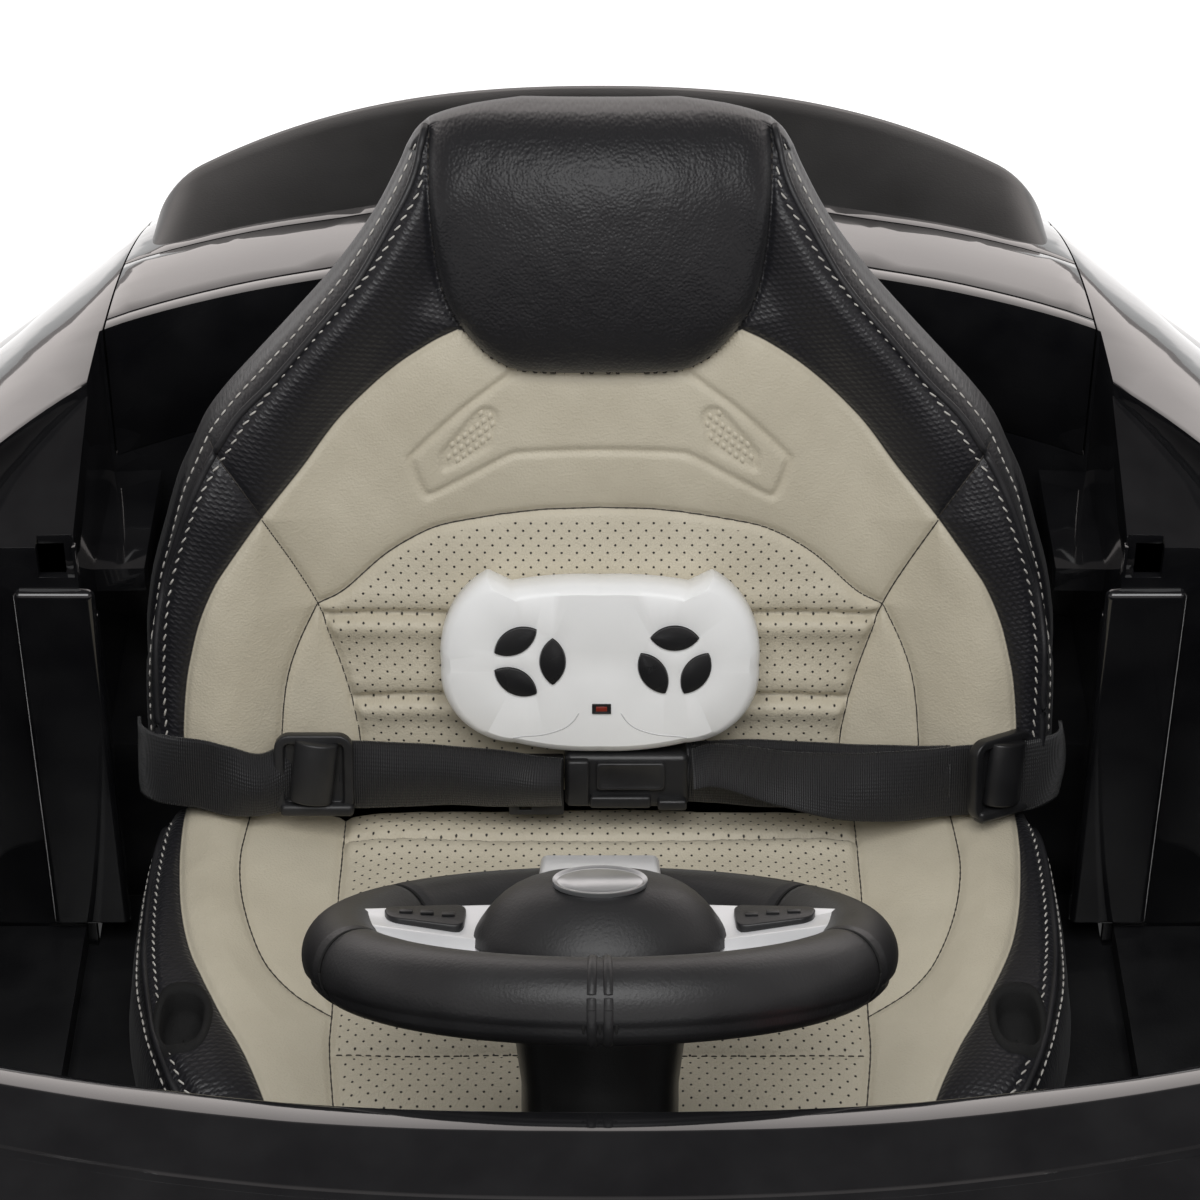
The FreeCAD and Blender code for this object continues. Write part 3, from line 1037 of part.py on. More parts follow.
BUCKLE_LEFT = "-buckle_offset"
BUCKLE_RIGHT = "buckle_length - buckle_offset"
TONGUE_END = "-buckle_offset - tongue_length"
belt_end = "seat_half_width + 6"
node("belt_right", belt_piece("webbing_right", ("-(%s)" % belt_end, TONGUE_END + " - clearance"), BELT_OUT,
                              "belt_low", "webbing_thickness", "webbing_width"))
node("belt_left", belt_piece("webbing_left", (BUCKLE_RIGHT + " + clearance", belt_end), BELT_OUT, "belt_low",
                             "webbing_thickness", "webbing_width"))
socket_block = belt_piece("buckle_block", (BUCKLE_LEFT, BUCKLE_RIGHT), "buckle_seat + buckle_depth",
                          "buckle_low", "buckle_depth", "buckle_height")
node("buckle_socket", fillet("buckle_round", socket_block, "3", lambda e: True))
tongue_block = belt_piece("tongue_block", (TONGUE_END, BUCKLE_LEFT + " - clearance"), "bolster + 4",
                          "tongue_low", "tongue_depth", "tongue_height")
tongue_slot = belt_piece("tongue_slot", (TONGUE_END + " + 4", TONGUE_END + " + 4 + tongue_slot"),
                         "bolster + 14", "tongue_low + 2", "30", "tongue_height - 4")
node("buckle_tongue", cut("tongue_cut", tongue_block, tongue_slot))
for side, x in (("right", "-adjuster_right_x"), ("left", "adjuster_left_x")):
    ladder = belt_piece("adjuster_" + side, (x + " - adjuster_length / 2", x + " + adjuster_length / 2"),
                        BELT_OUT + " + clearance + adjuster_depth",
                        "belt_low + (webbing_width - adjuster_height) / 2 + 1.5",
                        "adjuster_depth", "adjuster_height")
    openings = [belt_piece("adjuster_slot_%s_%d" % (side, k),
                           (x + " + %d" % (k * 13 - 11), x + " + %d" % (k * 13 - 2)),
                           "bolster + 30", "belt_low - 1", "40", "webbing_width + 2") for k in (0, 1)]
    node("belt_adjuster_" + side, cut("adjuster_cut_" + side, ladder, *openings))

# Remote control resting on the buckle against the backrest
REMOTE_BACK = 3.1
REMOTE_LOW = value("12 + buckle_height") + SLACK
REMOTE_MID = REMOTE_LOW + value("remote_height") / 2
REMOTE_FACE = REMOTE_BACK + value("remote_depth")


def face_point(x, up):
    """Point on the remote's face about its middle."""
    return back_point(x, REMOTE_FACE, REMOTE_MID + up)


def remote_outline(draw, out):
    """Gamepad outline of arcs mirrored about its middle, drawn in by an amount at one depth."""
    w = value("remote_half_width") - draw
    h = value("remote_height") / 2 - draw
    half = [((0, h - 2), (0.3 * w, h - 2.3), (0.56 * w, h - 4.5)), ((0.56 * w, h - 4.5), (0.71 * w, h)),
            ((0.71 * w, h), (0.93 * w, 0.62 * h), (w, 0)),
            ((w, 0), (0.9 * w, -0.6 * h), (0.55 * w, -0.9 * h)),
            ((0.55 * w, -0.9 * h), (0.3 * w, -0.98 * h), (0, -h))]

    def edge(row):
        spots = [face_point(*p) + OUT_BACK * out for p in row]
        return arc(*spots) if len(spots) == 3 else Part.makeLine(*spots)
    right = [edge(row) for row in half]
    left = [edge([(-x, up) for x, up in reversed(row)]) for row in reversed(half)]
    return Part.Wire(right + left)


def leaf(x, up, angle, grow, low, high):
    """Leaf-shaped block on the remote's face, pointing along an angle."""
    length = value("leaf_length") / 2 + grow
    width = value("leaf_width") / 2 + grow
    c, s = math.cos(math.radians(angle)), math.sin(math.radians(angle))

    def at(u, v):
        return face_point(x + u * c - v * s, up + u * s + v * c) + OUT_BACK * low
    corners = [at(-length, 0), at(0, -width), at(length, 0), at(0, width)]
    wire = Part.Wire([arc(corners[0], corners[1], corners[2]), arc(corners[2], corners[3], corners[0])])
    return Part.Face(wire).extrude(OUT_BACK * (high - low))


LEAVES = []
for name, x, start in (("remote_turn", -28.0, 0), ("remote_drive", 29.0, 90)):
    for k, angle in enumerate((start, start + 120, start + 240)):
        reach = value("leaf_reach")
        LEAVES.append(("%s_button_%d" % (name, k + 1), x + reach * math.cos(math.radians(angle)),
                       3 + reach * math.sin(math.radians(angle)), angle + 90))
depth = value("remote_depth")
case = Part.makeLoft([remote_outline(draw, out) for draw,
                      out in ((5, -depth), (1.4, 3 - depth), (0, 7 - depth),
                      (0, -6), (1.2, -2.4), (4, 0))], True, True)
feature("remote_case", case.cut([leaf(x, up, a, SLACK, -3.4, 5) for _, x, up, a in LEAVES]))
for name, x, up, angle in LEAVES:
    feature(name, leaf(x, up, angle, 0, -1.4, value("leaf_height") - 1.4))

doc.recompute()
os.makedirs("parts", exist_ok=True)
for name, item in NODES.items():
    if "Invalid" in item.State or "Error" in item.State or item.Shape.isNull() or not item.Shape.isValid():
        raise RuntimeError("bad shape: " + name)
    item.Shape.exportStep("parts/" + name + ".step")
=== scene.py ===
"""Dressed model of an electric ride-on car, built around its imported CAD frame."""
import json
import logging
import math
from dataclasses import dataclass, field
from enum import Enum
from typing import Callable, Sequence, Union

import bpy
import numpy as np
from mathutils import Matrix, Vector
from mathutils.bvhtree import BVHTree

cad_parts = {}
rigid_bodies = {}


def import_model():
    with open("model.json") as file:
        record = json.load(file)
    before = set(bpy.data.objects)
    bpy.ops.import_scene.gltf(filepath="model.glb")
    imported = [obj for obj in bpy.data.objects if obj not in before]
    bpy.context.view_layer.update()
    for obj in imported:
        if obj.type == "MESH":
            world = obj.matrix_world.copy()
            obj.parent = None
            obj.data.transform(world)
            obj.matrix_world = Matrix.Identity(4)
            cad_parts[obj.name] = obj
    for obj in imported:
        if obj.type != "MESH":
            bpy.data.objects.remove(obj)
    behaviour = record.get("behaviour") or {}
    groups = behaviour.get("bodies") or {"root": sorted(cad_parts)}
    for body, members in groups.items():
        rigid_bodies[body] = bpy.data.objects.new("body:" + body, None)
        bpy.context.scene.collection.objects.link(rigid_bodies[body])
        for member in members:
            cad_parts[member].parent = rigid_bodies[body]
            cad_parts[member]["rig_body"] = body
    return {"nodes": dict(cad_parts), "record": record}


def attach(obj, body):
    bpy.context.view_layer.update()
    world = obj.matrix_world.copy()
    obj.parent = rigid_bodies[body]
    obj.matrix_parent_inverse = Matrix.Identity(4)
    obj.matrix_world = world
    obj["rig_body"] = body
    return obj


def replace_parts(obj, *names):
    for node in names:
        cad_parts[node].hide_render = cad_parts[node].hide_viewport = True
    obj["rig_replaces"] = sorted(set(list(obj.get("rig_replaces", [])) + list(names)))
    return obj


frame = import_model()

LOG = logging.getLogger("ride_on_car")
MM = 0.001
# Reach in metres within which points of a CAD copy, and of a new mesh, are merged
WELD = 4e-6
DOUBLES = 1e-6
# Count of the waves that make up a ripple
RIPPLE_WAVES = 7
# Direction from which the section of a tube is turned
TUBE_UP = (0.0, 0.31, 0.95)
# Place across, past the middle of a pad, where its half outlines are closed
PAST_MIDDLE = -80.0
Array = np.ndarray
Pair = tuple[float, float]
Triple = tuple[float, float, float]
Quad = tuple[float, float, float, float]
Line = list[Pair]
Colour = Triple
Piece = bpy.types.Object
Shell = tuple[Array, list]
Socket = bpy.types.NodeSocket
Value = Union[float, Socket]
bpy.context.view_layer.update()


class Side(Enum):
    """Side of the car; the driver's left is +X."""

    LEFT = 1
    RIGHT = -1

    @property
    def word(self) -> str:
        """Name of the side as the CAD nodes spell it."""
        return self.name.lower()


def table(rows: Union[list, dict]) -> Union[list, dict]:
    """Dataclass field that starts as a copy of a table of sizes."""
    return field(default_factory=rows.copy)


# Plane geometry on the seat's faces


def densify(line: Line, per_span: int = 12) -> Array:
    """Smooth curve through the points of a line.

    Args:
        line: Corner points in millimetres.
        per_span: Points made on each span.

    Returns:
        Array of points along the curve.
    """
    p = np.array(line, float)
    ends = np.vstack([2 * p[0] - p[1], p, 2 * p[-1] - p[-2]])
    t = np.linspace(0, 1, per_span, endpoint=False)[:, None]
    spans = []
    for a, b, c, d in zip(ends, ends[1:], ends[2:], ends[3:]):
        spans.append(0.5 * (2 * b + (c - a) * t + (2 * a - 5 * b + 4 * c - d) * t**2
                            + (3 * b - a - 3 * c + d) * t**3))
    return np.vstack(spans + [p[-1:]])


def distance(x: Array, t: Array, line: Array) -> Array:
    """Distance of points from an open line.

    Args:
        x: First coordinates.
        t: Second coordinates.
        line: Points of the line.

    Returns:
        Distances in the same unit.
    """
    best = np.full(x.shape, 1e9)
    for (x0, t0), (x1, t1) in zip(line, line[1:]):
        ex, et = x1 - x0, t1 - t0
        share = np.clip(((x - x0) * ex + (t - t0) * et) / max(ex * ex + et * et, 1e-12), 0, 1)
        best = np.minimum(best, (x - x0 - share * ex) ** 2 + (t - t0 - share * et) ** 2)
    return np.sqrt(best)


def inward(x: Array, t: Array, polygon: Array) -> Array:
    """Signed distance from a closed polygon, positive inside.

    Args:
        x: First coordinates.
        t: Second coordinates.
        polygon: Corner points, without the closing one.

    Returns:
        Signed distances.
    """
    ring = np.vstack([polygon, polygon[:1]])
    inside = np.zeros(x.shape, bool)
    for (x0, t0), (x1, t1) in zip(ring, ring[1:]):
        crosses = (t0 > t) != (t1 > t)
        slope = (x1 - x0) / (t1 - t0) if t1 != t0 else 0.0
        inside ^= crosses & (x < x0 + (t - t0) * slope)
    return np.where(inside, 1.0, -1.0) * distance(x, t, ring)


def nearest(x: Array, t: Array, lines: Sequence[Line]) -> Array:
    """Distance of points from the nearest of several smooth lines."""
    return np.min([distance(x, t, densify(line, 6)) for line in lines], axis=0)


def headings(path: Array) -> Array:
    """Unit direction of travel at each point of a path."""
    turn = np.gradient(path, axis=0)
    return turn / np.linalg.norm(turn, axis=1)[:, None]


def run_along(path: Array) -> Array:
    """Length travelled along a path at each of its points."""
    return np.concatenate([[0], np.cumsum(np.linalg.norm(np.diff(path, axis=0), axis=1))])


def ease(value: Array, low: float, high: float) -> Array:
    """Smooth step from 0 at low to 1 at high."""
    share = np.clip((value - low) / (high - low), 0, 1)
    return share * share * (3 - 2 * share)


def profile(value: Array, knots: Line) -> Array:
    """Height of a smooth curve through knots (place, height)."""
    curve = densify(knots, 24)
    return np.interp(value, curve[:, 0], curve[:, 1])


def dent(reach: Array, width: float) -> Array:
    """Rounded dent, 1 on a line and fading over a width."""
    return np.exp(-((reach / width) ** 2))


def ripple(x: Array, t: Array, size: float, seed: int) -> Array:
    """Soft irregular waves of about one size, the same on every run.

    Args:
        x: First coordinates.
        t: Second coordinates.
        size: Length of the waves.
        seed: Number that sets the pattern.

    Returns:
        Heights between about -1 and 1.
    """
    rng = np.random.RandomState(seed)
    total = np.zeros(x.shape)
    for _ in range(RIPPLE_WAVES):
        angle, phase, stretch = rng.rand(3) * (2 * math.pi, 2 * math.pi, 1.0)
        wave = size * (0.7 + stretch)
        total += np.sin((x * math.cos(angle) + t * math.sin(angle)) * 2 * math.pi / wave + phase)
    return 2 * total / RIPPLE_WAVES


# Materials


class NodeBoard:
    """Drawing board for one tree of shader nodes."""

    def __init__(self, tree: bpy.types.NodeTree) -> None:
        """Start with an empty tree."""
        self.tree = tree
        self.tree.nodes.clear()

    def feed(self, socket: Socket, value: object) -> None:
        """Link a socket to an output, or set it to a plain value."""
        if isinstance(value, Socket):
            self.tree.links.new(value, socket)
        elif isinstance(value, tuple) and len(value) == 3 and socket.type == "RGBA":
            socket.default_value = (*value, 1.0)
        else:
            socket.default_value = value

    def make(self, kind: str, inputs: dict, **settings: object) -> bpy.types.Node:
        """Add a node.

        Args:
            kind: Node type without its ShaderNode prefix.
            inputs: Values or outputs by input name or number.
            settings: Properties of the node.

        Returns:
            The node.
        """
        node = self.tree.nodes.new("ShaderNode" + kind)
        for key, value in settings.items():
            setattr(node, key, value)
        for key, value in inputs.items():
            self.feed(node.inputs[key], value)
        return node

    def where(self, kind: str = "Object") -> Socket:
        """Coordinates of the surface in metres."""
        return self.make("TexCoord", {}).outputs[kind]

    def math(self, operation: str, a: Value, b: Value = 0.0, c: Value = 0.0) -> Socket:
        """Result of one arithmetic step."""
        return self.make("Math", {0: a, 1: b, 2: c}, operation=operation).outputs[0]

    def times(self, a: Value, b: Value) -> Socket:
        """Product of two values."""
        return self.math("MULTIPLY", a, b)

    def plus(self, a: Value, b: Value) -> Socket:
        """Sum of two values."""
        return self.math("ADD", a, b)

    def millimetres(self, metres: Socket) -> Socket:
        """Length in millimetres."""
        return self.times(metres, 1000.0)

    def noise(self, where: Socket, scale: float, detail: float = 2.0) -> Socket:
        """Noise about 0.5 with cells of one part in scale of a metre."""
        return self.make("TexNoise", {"Vector": where, "Scale": scale, "Detail": detail}).outputs[0]

    def cells(self, where: Socket, scale: float, feature: str = "F1") -> Socket:
        """Distance pattern of grain cells."""
        return self.make("TexVoronoi", {"Vector": where, "Scale": scale}, feature=feature).outputs["Distance"]

    def between(self, value: Value, low: float, high: float, to_low: Value = 0.0,
                to_high: Value = 1.0) -> Socket:
        """Value mapped from one range to another and held inside it."""
        return self.make("MapRange", {0: value, 1: low, 2: high, 3: to_low, 4: to_high}).outputs[0]

    def mix(self, share: Value, a: object, b: object) -> Socket:
        """Colour between two colours."""
        return self.make("Mix", {0: share, 6: a, 7: b}, data_type="RGBA").outputs[2]

    def blend(self, share: Value, a: Value, b: Value) -> Socket:
        """Number between two numbers."""
        return self.make("Mix", {0: share, 2: a, 3: b}).outputs[0]

    def attribute(self, name: str) -> Socket:
        """Number stored on the mesh's points."""
        return self.make("Attribute", {}, attribute_name=name).outputs["Fac"]

    def split(self, vector: Socket) -> tuple[Socket, Socket, Socket]:
        """Three parts of a vector."""
        parts = self.make("SeparateXYZ", {0: vector}).outputs
        return parts[0], parts[1], parts[2]


class NodeSheet(NodeBoard):
    """Board of one procedural material."""

    def __init__(self, name: str) -> None:
        """Start a material with nothing but a principled shader."""
        self.material = bpy.data.materials.new(name)
        self.material.use_nodes = True
        super().__init__(self.material.node_tree)
        self.shader = self.make("BsdfPrincipled", {})
        self.make("OutputMaterial", {0: self.shader.outputs[0]})

    def set(self, **values: object) -> None:
        """Set inputs of the shader by name, with underscores for spaces."""
        for key, value in values.items():
            self.feed(self.shader.inputs[key.replace("_", " ")], value)

    def bump(self, height: Socket, depth: float, strength: float = 1.0) -> None:
        """Raise the surface by a height pattern of one depth in metres."""
        node = self.make("Bump", {"Height": height, "Distance": depth, "Strength": strength})
        self.set(Normal=node.outputs[0])


@dataclass(frozen=True)
class Finish:
    """Named finish whose material is drawn once.

    Attributes:
        name: Name of the material.
    """

    name: str

    def draw(self, sheet: NodeSheet) -> None:
        """Lay out the nodes of the material."""
        raise NotImplementedError

    def material(self) -> bpy.types.Material:
        """Make the material, or find it if it is made."""
        made = bpy.data.materials.get(self.name)
        if made:
            return made
        sheet = NodeSheet(self.name)
        self.draw(sheet)
        return sheet.material


@dataclass(frozen=True)
class MouldedFinish(Finish):
    """Moulded or painted surface with faint mottling and grain.

    Attributes:
        dark: Darker colour of the mottling.
        light: Lighter colour of the mottling.
        rough: Roughness where the surface is clean.
        worn: Roughness where it is handled.
        grain: Grain cells per metre.
        depth: Depth of the grain in metres.
        metal: Metalness.
        coat: Weight of the clear coat.
        mottling: Mottled patches per metre.
        smears: Handled patches per metre.
    """

    dark: Colour
    light: Colour
    rough: float = 0.4
    worn: float = 0.5
    grain: float = 600.0
    depth: float = 0.00005
    metal: float = 0.0
    coat: float = 0.0
    mottling: float = 38.0
    smears: float = 11.0

    def draw(self, sheet: NodeSheet) -> None:
        """Lay out mottling, handled patches and grain."""
        where = sheet.where()
        mottle = sheet.between(sheet.noise(where, self.mottling, 4.0), 0.35, 0.65)
        smear = sheet.between(sheet.noise(where, self.smears, 5.0), 0.4, 0.7)
        sheet.set(Base_Color=sheet.mix(mottle, self.dark, self.light), Metallic=self.metal,
                  Roughness=sheet.blend(smear, self.rough, self.worn), Coat_Weight=self.coat,
                  Coat_Roughness=0.04)
        sheet.bump(sheet.noise(where, self.grain, 3.0), self.depth)


@dataclass(frozen=True)
class LensFinish(Finish):
    """Clear or tinted lamp cover with fine flutes.

    Attributes:
        tint: Colour of the plastic.
        clear: Share of light let through.
        flute: Width of a flute in millimetres.
        flute_depth: Depth of a flute in metres.
        shade: Share of the tint left in the painted shade of a flute's hollow.
    """

    tint: Colour
    clear: float
    flute: float = 2.5
    flute_depth: float = 0.0003
    shade: float = 0.6

    def draw(self, sheet: NodeSheet) -> None:
        """Lay out the flutes, the painted shade in their hollows and the clear plastic."""
        x, _, z = sheet.split(sheet.where())
        flutes = sheet.math("PINGPONG", sheet.millimetres(sheet.plus(x, z)), self.flute)
        # The colour darkens into each flute's hollow: painted shade.
        share = sheet.between(flutes, 0.0, self.flute, 0.75, 1.0)
        flute_shade_tint = tuple(self.shade * part for part in self.tint)
        sheet.set(Base_Color=sheet.mix(share, flute_shade_tint, self.tint), Roughness=0.08, IOR=1.49,
                  Transmission_Weight=self.clear, Coat_Weight=0.5)
        sheet.bump(flutes, self.flute_depth, 0.4)


@dataclass(frozen=True)
class WebbingFinish(Finish):
    """Woven strap whose ribs follow the strap's own UV map in metres.

    Attributes:
        dark: Colour of the painted shade between the ribs.
        light: Colour of the painted highlight on the ribs.
        rib: Spacing of the cross ribs in millimetres.
        warp: Width of a lengthwise thread in millimetres.
        depth: Depth of the weave in metres.
    """

    dark: Colour
    light: Colour
    rib: float
    warp: float = 0.8
    depth: float = 0.00035

    def draw(self, sheet: NodeSheet) -> None:
        """Lay out the weave, its fuzz and the painted shade and highlight that follow its ribs."""
        where = sheet.where("UV")
        u, v, _ = sheet.split(where)
        half = self.rib / 2
        weft = sheet.math("DIVIDE", sheet.math("PINGPONG", sheet.millimetres(u), half), half)
        warp = sheet.math("PINGPONG", sheet.millimetres(v), self.warp)
        height = sheet.plus(weft, sheet.times(warp, 0.45))
        fuzz = sheet.times(sheet.noise(where, 1800.0, 2.0), 0.6)
        # The colour follows the weave's height: painted shade in its hollows, painted highlight on its ribs;
        # the fuzz is random tone.
        tone = sheet.between(sheet.plus(height, fuzz), 0.3, 1.6)
        sheet.set(Base_Color=sheet.mix(tone, self.dark, self.light), Roughness=0.5, Sheen_Weight=0.12,
                  Sheen_Roughness=0.4)
        sheet.bump(height, self.depth, 0.8)


@dataclass(frozen=True)
class SeatCoverFinish(Finish):
    """Sewn seat cover: pale grained leather, ribbed black sides and a pebbled head pad.

    The mesh carries the signed distances in millimetres that part these areas.

    Attributes:
        pale: Colour of the pale leather.
        pale_worn: Colour where the pale leather is handled.
        black: Colour of the black leather.
        black_light: Colour of the painted highlight on the ribs of the black leather.
        pierced: Colour of the painted shade inside a hole.
        border: Half width of the soft border between two areas.
        hole_pitch: Spacing of the pierced holes across.
        hole_row: Spacing of the rows of holes.
        hole_radius: Radius of a hole.
        hole_edge: Half width of a hole's soft edge.
        hole_start: Distances inside the pierced area between which the holes start.
        rib_pitch: Spacing of the ribs on the black sides.
        grain: Grain cells of the leather per metre.
        pebbles: Pebbles of the head pad per metre.
        depth: Depth of the grain in metres.
    """

    pale: Colour = (0.565, 0.515, 0.405)
    pale_worn: Colour = (0.515, 0.465, 0.36)
    black: Colour = (0.0055, 0.0055, 0.0075)
    black_light: Colour = (0.013, 0.013, 0.017)
    pierced: Colour = (0.012, 0.011, 0.010)
    border: float = 0.25
    hole_pitch: float = 6.0
    hole_row: float = 2.9
    hole_radius: float = 0.44
    hole_edge: float = 0.12
    hole_start: Pair = (3.2, 3.6)
    rib_pitch: float = 2.1
    grain: float = 1150.0
    pebbles: float = 980.0
    depth: float = 0.00022

    def off_centre(self, sheet: NodeSheet, place: Socket, pitch: float) -> Socket:
        """Distance from the middle of a cell, for a place counted in cells."""
        return sheet.times(sheet.math("SUBTRACT", sheet.math("FRACT", place), 0.5), pitch)

    def holes(self, sheet: NodeSheet, u: Socket, v: Socket) -> Socket:
        """Staggered rows of pierced holes, 1 inside a hole."""
        row = sheet.math("DIVIDE", v, self.hole_row)
        stagger = sheet.math("FRACT", sheet.times(sheet.math("FLOOR", row), 0.5))
        across = sheet.plus(sheet.math("DIVIDE", u, self.hole_pitch), stagger)
        dx = self.off_centre(sheet, across, self.hole_pitch)
        dy = self.off_centre(sheet, row, self.hole_row)
        square = sheet.plus(sheet.times(dx, dx), sheet.times(dy, dy))
        inner, outer = self.hole_radius - self.hole_edge, self.hole_radius + self.hole_edge
        inside = sheet.between(sheet.math("SQRT", square), inner, outer, 1.0, 0.0)
        return sheet.times(inside, sheet.between(sheet.attribute("pierced"), *self.hole_start))

    def ribs(self, sheet: NodeSheet, u: Socket, v: Socket) -> Socket:
        """Saw-edged twill ribs across the black sides."""
        slant = sheet.times(sheet.math("ABSOLUTE", u), -0.22)
        saw = sheet.plus(sheet.times(sheet.math("PINGPONG", u, 1.1), 0.4), slant)
        phase = sheet.math("DIVIDE", sheet.plus(v, saw), self.rib_pitch)
        rib = sheet.math("PINGPONG", sheet.times(phase, 2.0), 1.0)
        dash = sheet.math("PINGPONG", sheet.plus(u, sheet.times(v, 0.9)), 1.6)
        return sheet.times(rib, sheet.between(dash, 0.2, 1.1, 0.25, 1.0))

    def draw(self, sheet: NodeSheet) -> None:
        """Part the areas, then colour, roughen and raise them."""
        where = sheet.where("UV")
        u, v, _ = sheet.split(where)
        u = sheet.millimetres(u)
        v = sheet.millimetres(v)
        pale = sheet.between(sheet.attribute("pale"), -self.border, self.border)
        plain = sheet.between(sheet.attribute("plain"), -self.border, self.border)
        hole = self.holes(sheet, u, v)
        rib = sheet.times(self.ribs(sheet, u, v), sheet.math("SUBTRACT", 1.0, plain))
        blotch = sheet.between(sheet.noise(where, 22.0, 5.0), 0.35, 0.7)
        pale_tone = sheet.mix(blotch, self.pale, self.pale_worn)
        # The black leather is lighter on its raised ribs: painted highlight.
        black_rib_highlighted = sheet.mix(rib, self.black, self.black_light)
        # Inside each hole the colour turns to painted shade.
        tone = sheet.mix(hole, sheet.mix(pale, black_rib_highlighted, pale_tone), self.pierced)
        pores = sheet.times(sheet.noise(where, 2600.0, 2.0), 0.5)
        grain = sheet.plus(sheet.cells(where, self.grain), pores)
        pebble = sheet.times(sheet.cells(where, self.pebbles, "SMOOTH_F1"), 1.5)
        ribbed = sheet.plus(rib, sheet.times(grain, 0.25))
        black_skin = sheet.blend(plain, ribbed, pebble)
        skin = sheet.blend(pale, black_skin, sheet.times(grain, 0.75))
        height = sheet.math("SUBTRACT", skin, sheet.times(hole, 2.0))
        black_rough = sheet.between(rib, 0.0, 1.0, 0.46, 0.36)
        pale_rough = sheet.between(blotch, 0.0, 1.0, 0.5, 0.58)
        sheet.set(Base_Color=tone, Roughness=sheet.blend(pale, black_rough, pale_rough), Sheen_Weight=0.06,
                  Sheen_Roughness=0.5)
        sheet.bump(height, self.depth, 0.8)


GLOSS_BLACK = MouldedFinish(
    "gloss_black_paint", (0.006, 0.006, 0.007), (0.011, 0.011, 0.012), 0.05, 0.09, 240.0, 0.000012, 0.0, 0.6)
SATIN_BLACK = MouldedFinish(
    "satin_black_plastic", (0.008, 0.008, 0.008), (0.014, 0.014, 0.014), 0.34, 0.46, 1100.0)
TRIM_BLACK = MouldedFinish(
    "trim_black_plastic", (0.010, 0.010, 0.011), (0.018, 0.018, 0.019), 0.3, 0.42, 900.0)
PAN_BLACK = MouldedFinish(
    "pan_black_plastic", (0.008, 0.008, 0.009), (0.016, 0.016, 0.017), 0.28, 0.4, 700.0)
SOFT_BLACK = MouldedFinish(
    "grip_black_skin", (0.012, 0.012, 0.013), (0.02, 0.02, 0.021), 0.42, 0.5, 950.0, 0.00012)
BUCKLE_BLACK = MouldedFinish(
    "buckle_black_plastic", (0.010, 0.010, 0.011), (0.02, 0.02, 0.021), 0.34, 0.45, 1200.0, 0.00006)
STEEL = MouldedFinish("zinc_steel", (0.42, 0.43, 0.45), (0.55, 0.56, 0.57), 0.3, 0.45, 500.0, 0.00003, 1.0)
REMOTE_WHITE = MouldedFinish(
    "remote_white_plastic", (0.86, 0.86, 0.855), (0.9, 0.9, 0.895), 0.3, 0.38, 1500.0, 0.00002)
BUTTON_BLACK = MouldedFinish(
    "button_black_rubber", (0.012, 0.012, 0.013), (0.02, 0.02, 0.021), 0.25, 0.35, 900.0, 0.00003)
WHEEL_BLACK = MouldedFinish(
    "wheel_black_plastic", (0.012, 0.012, 0.012), (0.024, 0.024, 0.024), 0.5, 0.62, 500.0, 0.0001)
CAP_SILVER = MouldedFinish(
    "cap_silver_paint", (0.45, 0.46, 0.47), (0.56, 0.57, 0.58), 0.26, 0.36, 2500.0, 0.00001, 0.85)
DRIVE_BLACK = MouldedFinish("drive_black_plastic", (0.014, 0.014, 0.015), (0.028, 0.028, 0.029), 0.42, 0.55)
BATTERY_GREY = MouldedFinish("battery_grey_case", (0.10, 0.105, 0.11), (0.14, 0.145, 0.15), 0.45, 0.55)
SWITCH_RED = MouldedFinish("switch_red_plastic", (0.45, 0.02, 0.015), (0.55, 0.03, 0.02), 0.22, 0.3)
PEDAL_GREY = MouldedFinish("pedal_grey_plastic", (0.05, 0.05, 0.052), (0.075, 0.075, 0.078), 0.45, 0.58)
STITCH_WHITE = MouldedFinish(
    "white_thread", (0.42, 0.40, 0.37), (0.56, 0.54, 0.50), 0.6, 0.7, 2400.0, 0.0001)
# Dark thread of the seams; laid all along a seam it also paints the shade of the seam's crease.
THREAD_AND_SHADE_DARK = MouldedFinish(
    "dark_thread", (0.028, 0.024, 0.02), (0.055, 0.048, 0.04), 0.6, 0.7, 2400.0, 0.0001)
SATIN_SILVER = MouldedFinish(
    "satin_silver_paint", (0.66, 0.66, 0.67), (0.74, 0.74, 0.75), 0.34, 0.44, 900.0, 0.00001, 0.25, 0.2)
# Black felt of the eyelet rims; the same black also paints shade on the eyelet floors and in the rim's
# joints.
FELT_AND_SHADE_BLACK = MouldedFinish(
    "eyelet_felt", (0.004, 0.004, 0.004), (0.009, 0.009, 0.009), 0.85, 0.95, 2200.0, 0.0003)
# Grey of the remote's parting lines: painted shade in the gap between its halves.
PARTING_SHADE_GREY = MouldedFinish("parting_line_grey", (0.56, 0.56, 0.565), (0.64, 0.64, 0.645), 0.5, 0.6)
SIGNAL_RED = MouldedFinish("signal_window_red", (0.16, 0.02, 0.012), (0.24, 0.03, 0.018), 0.2, 0.3)
PIPING_BLACK = MouldedFinish(
    "black_piping", (0.010, 0.010, 0.012), (0.02, 0.02, 0.022), 0.4, 0.5, 1100.0, 0.0001)
LENS_CLEAR = LensFinish("headlamp_lens", (0.75, 0.78, 0.8), 0.85)
LENS_RED = LensFinish("tail_lamp_lens", (0.42, 0.01, 0.012), 0.35)
WEBBING = WebbingFinish("belt_webbing", (0.009, 0.009, 0.010), (0.021, 0.021, 0.023), 0.9)
SEAT_COVER = SeatCoverFinish("seat_cover")


# Mesh making


def moved(place: Sequence[float]) -> Matrix:
    """Shift by a place in millimetres."""
    return Matrix.Translation(Vector(place) * MM)


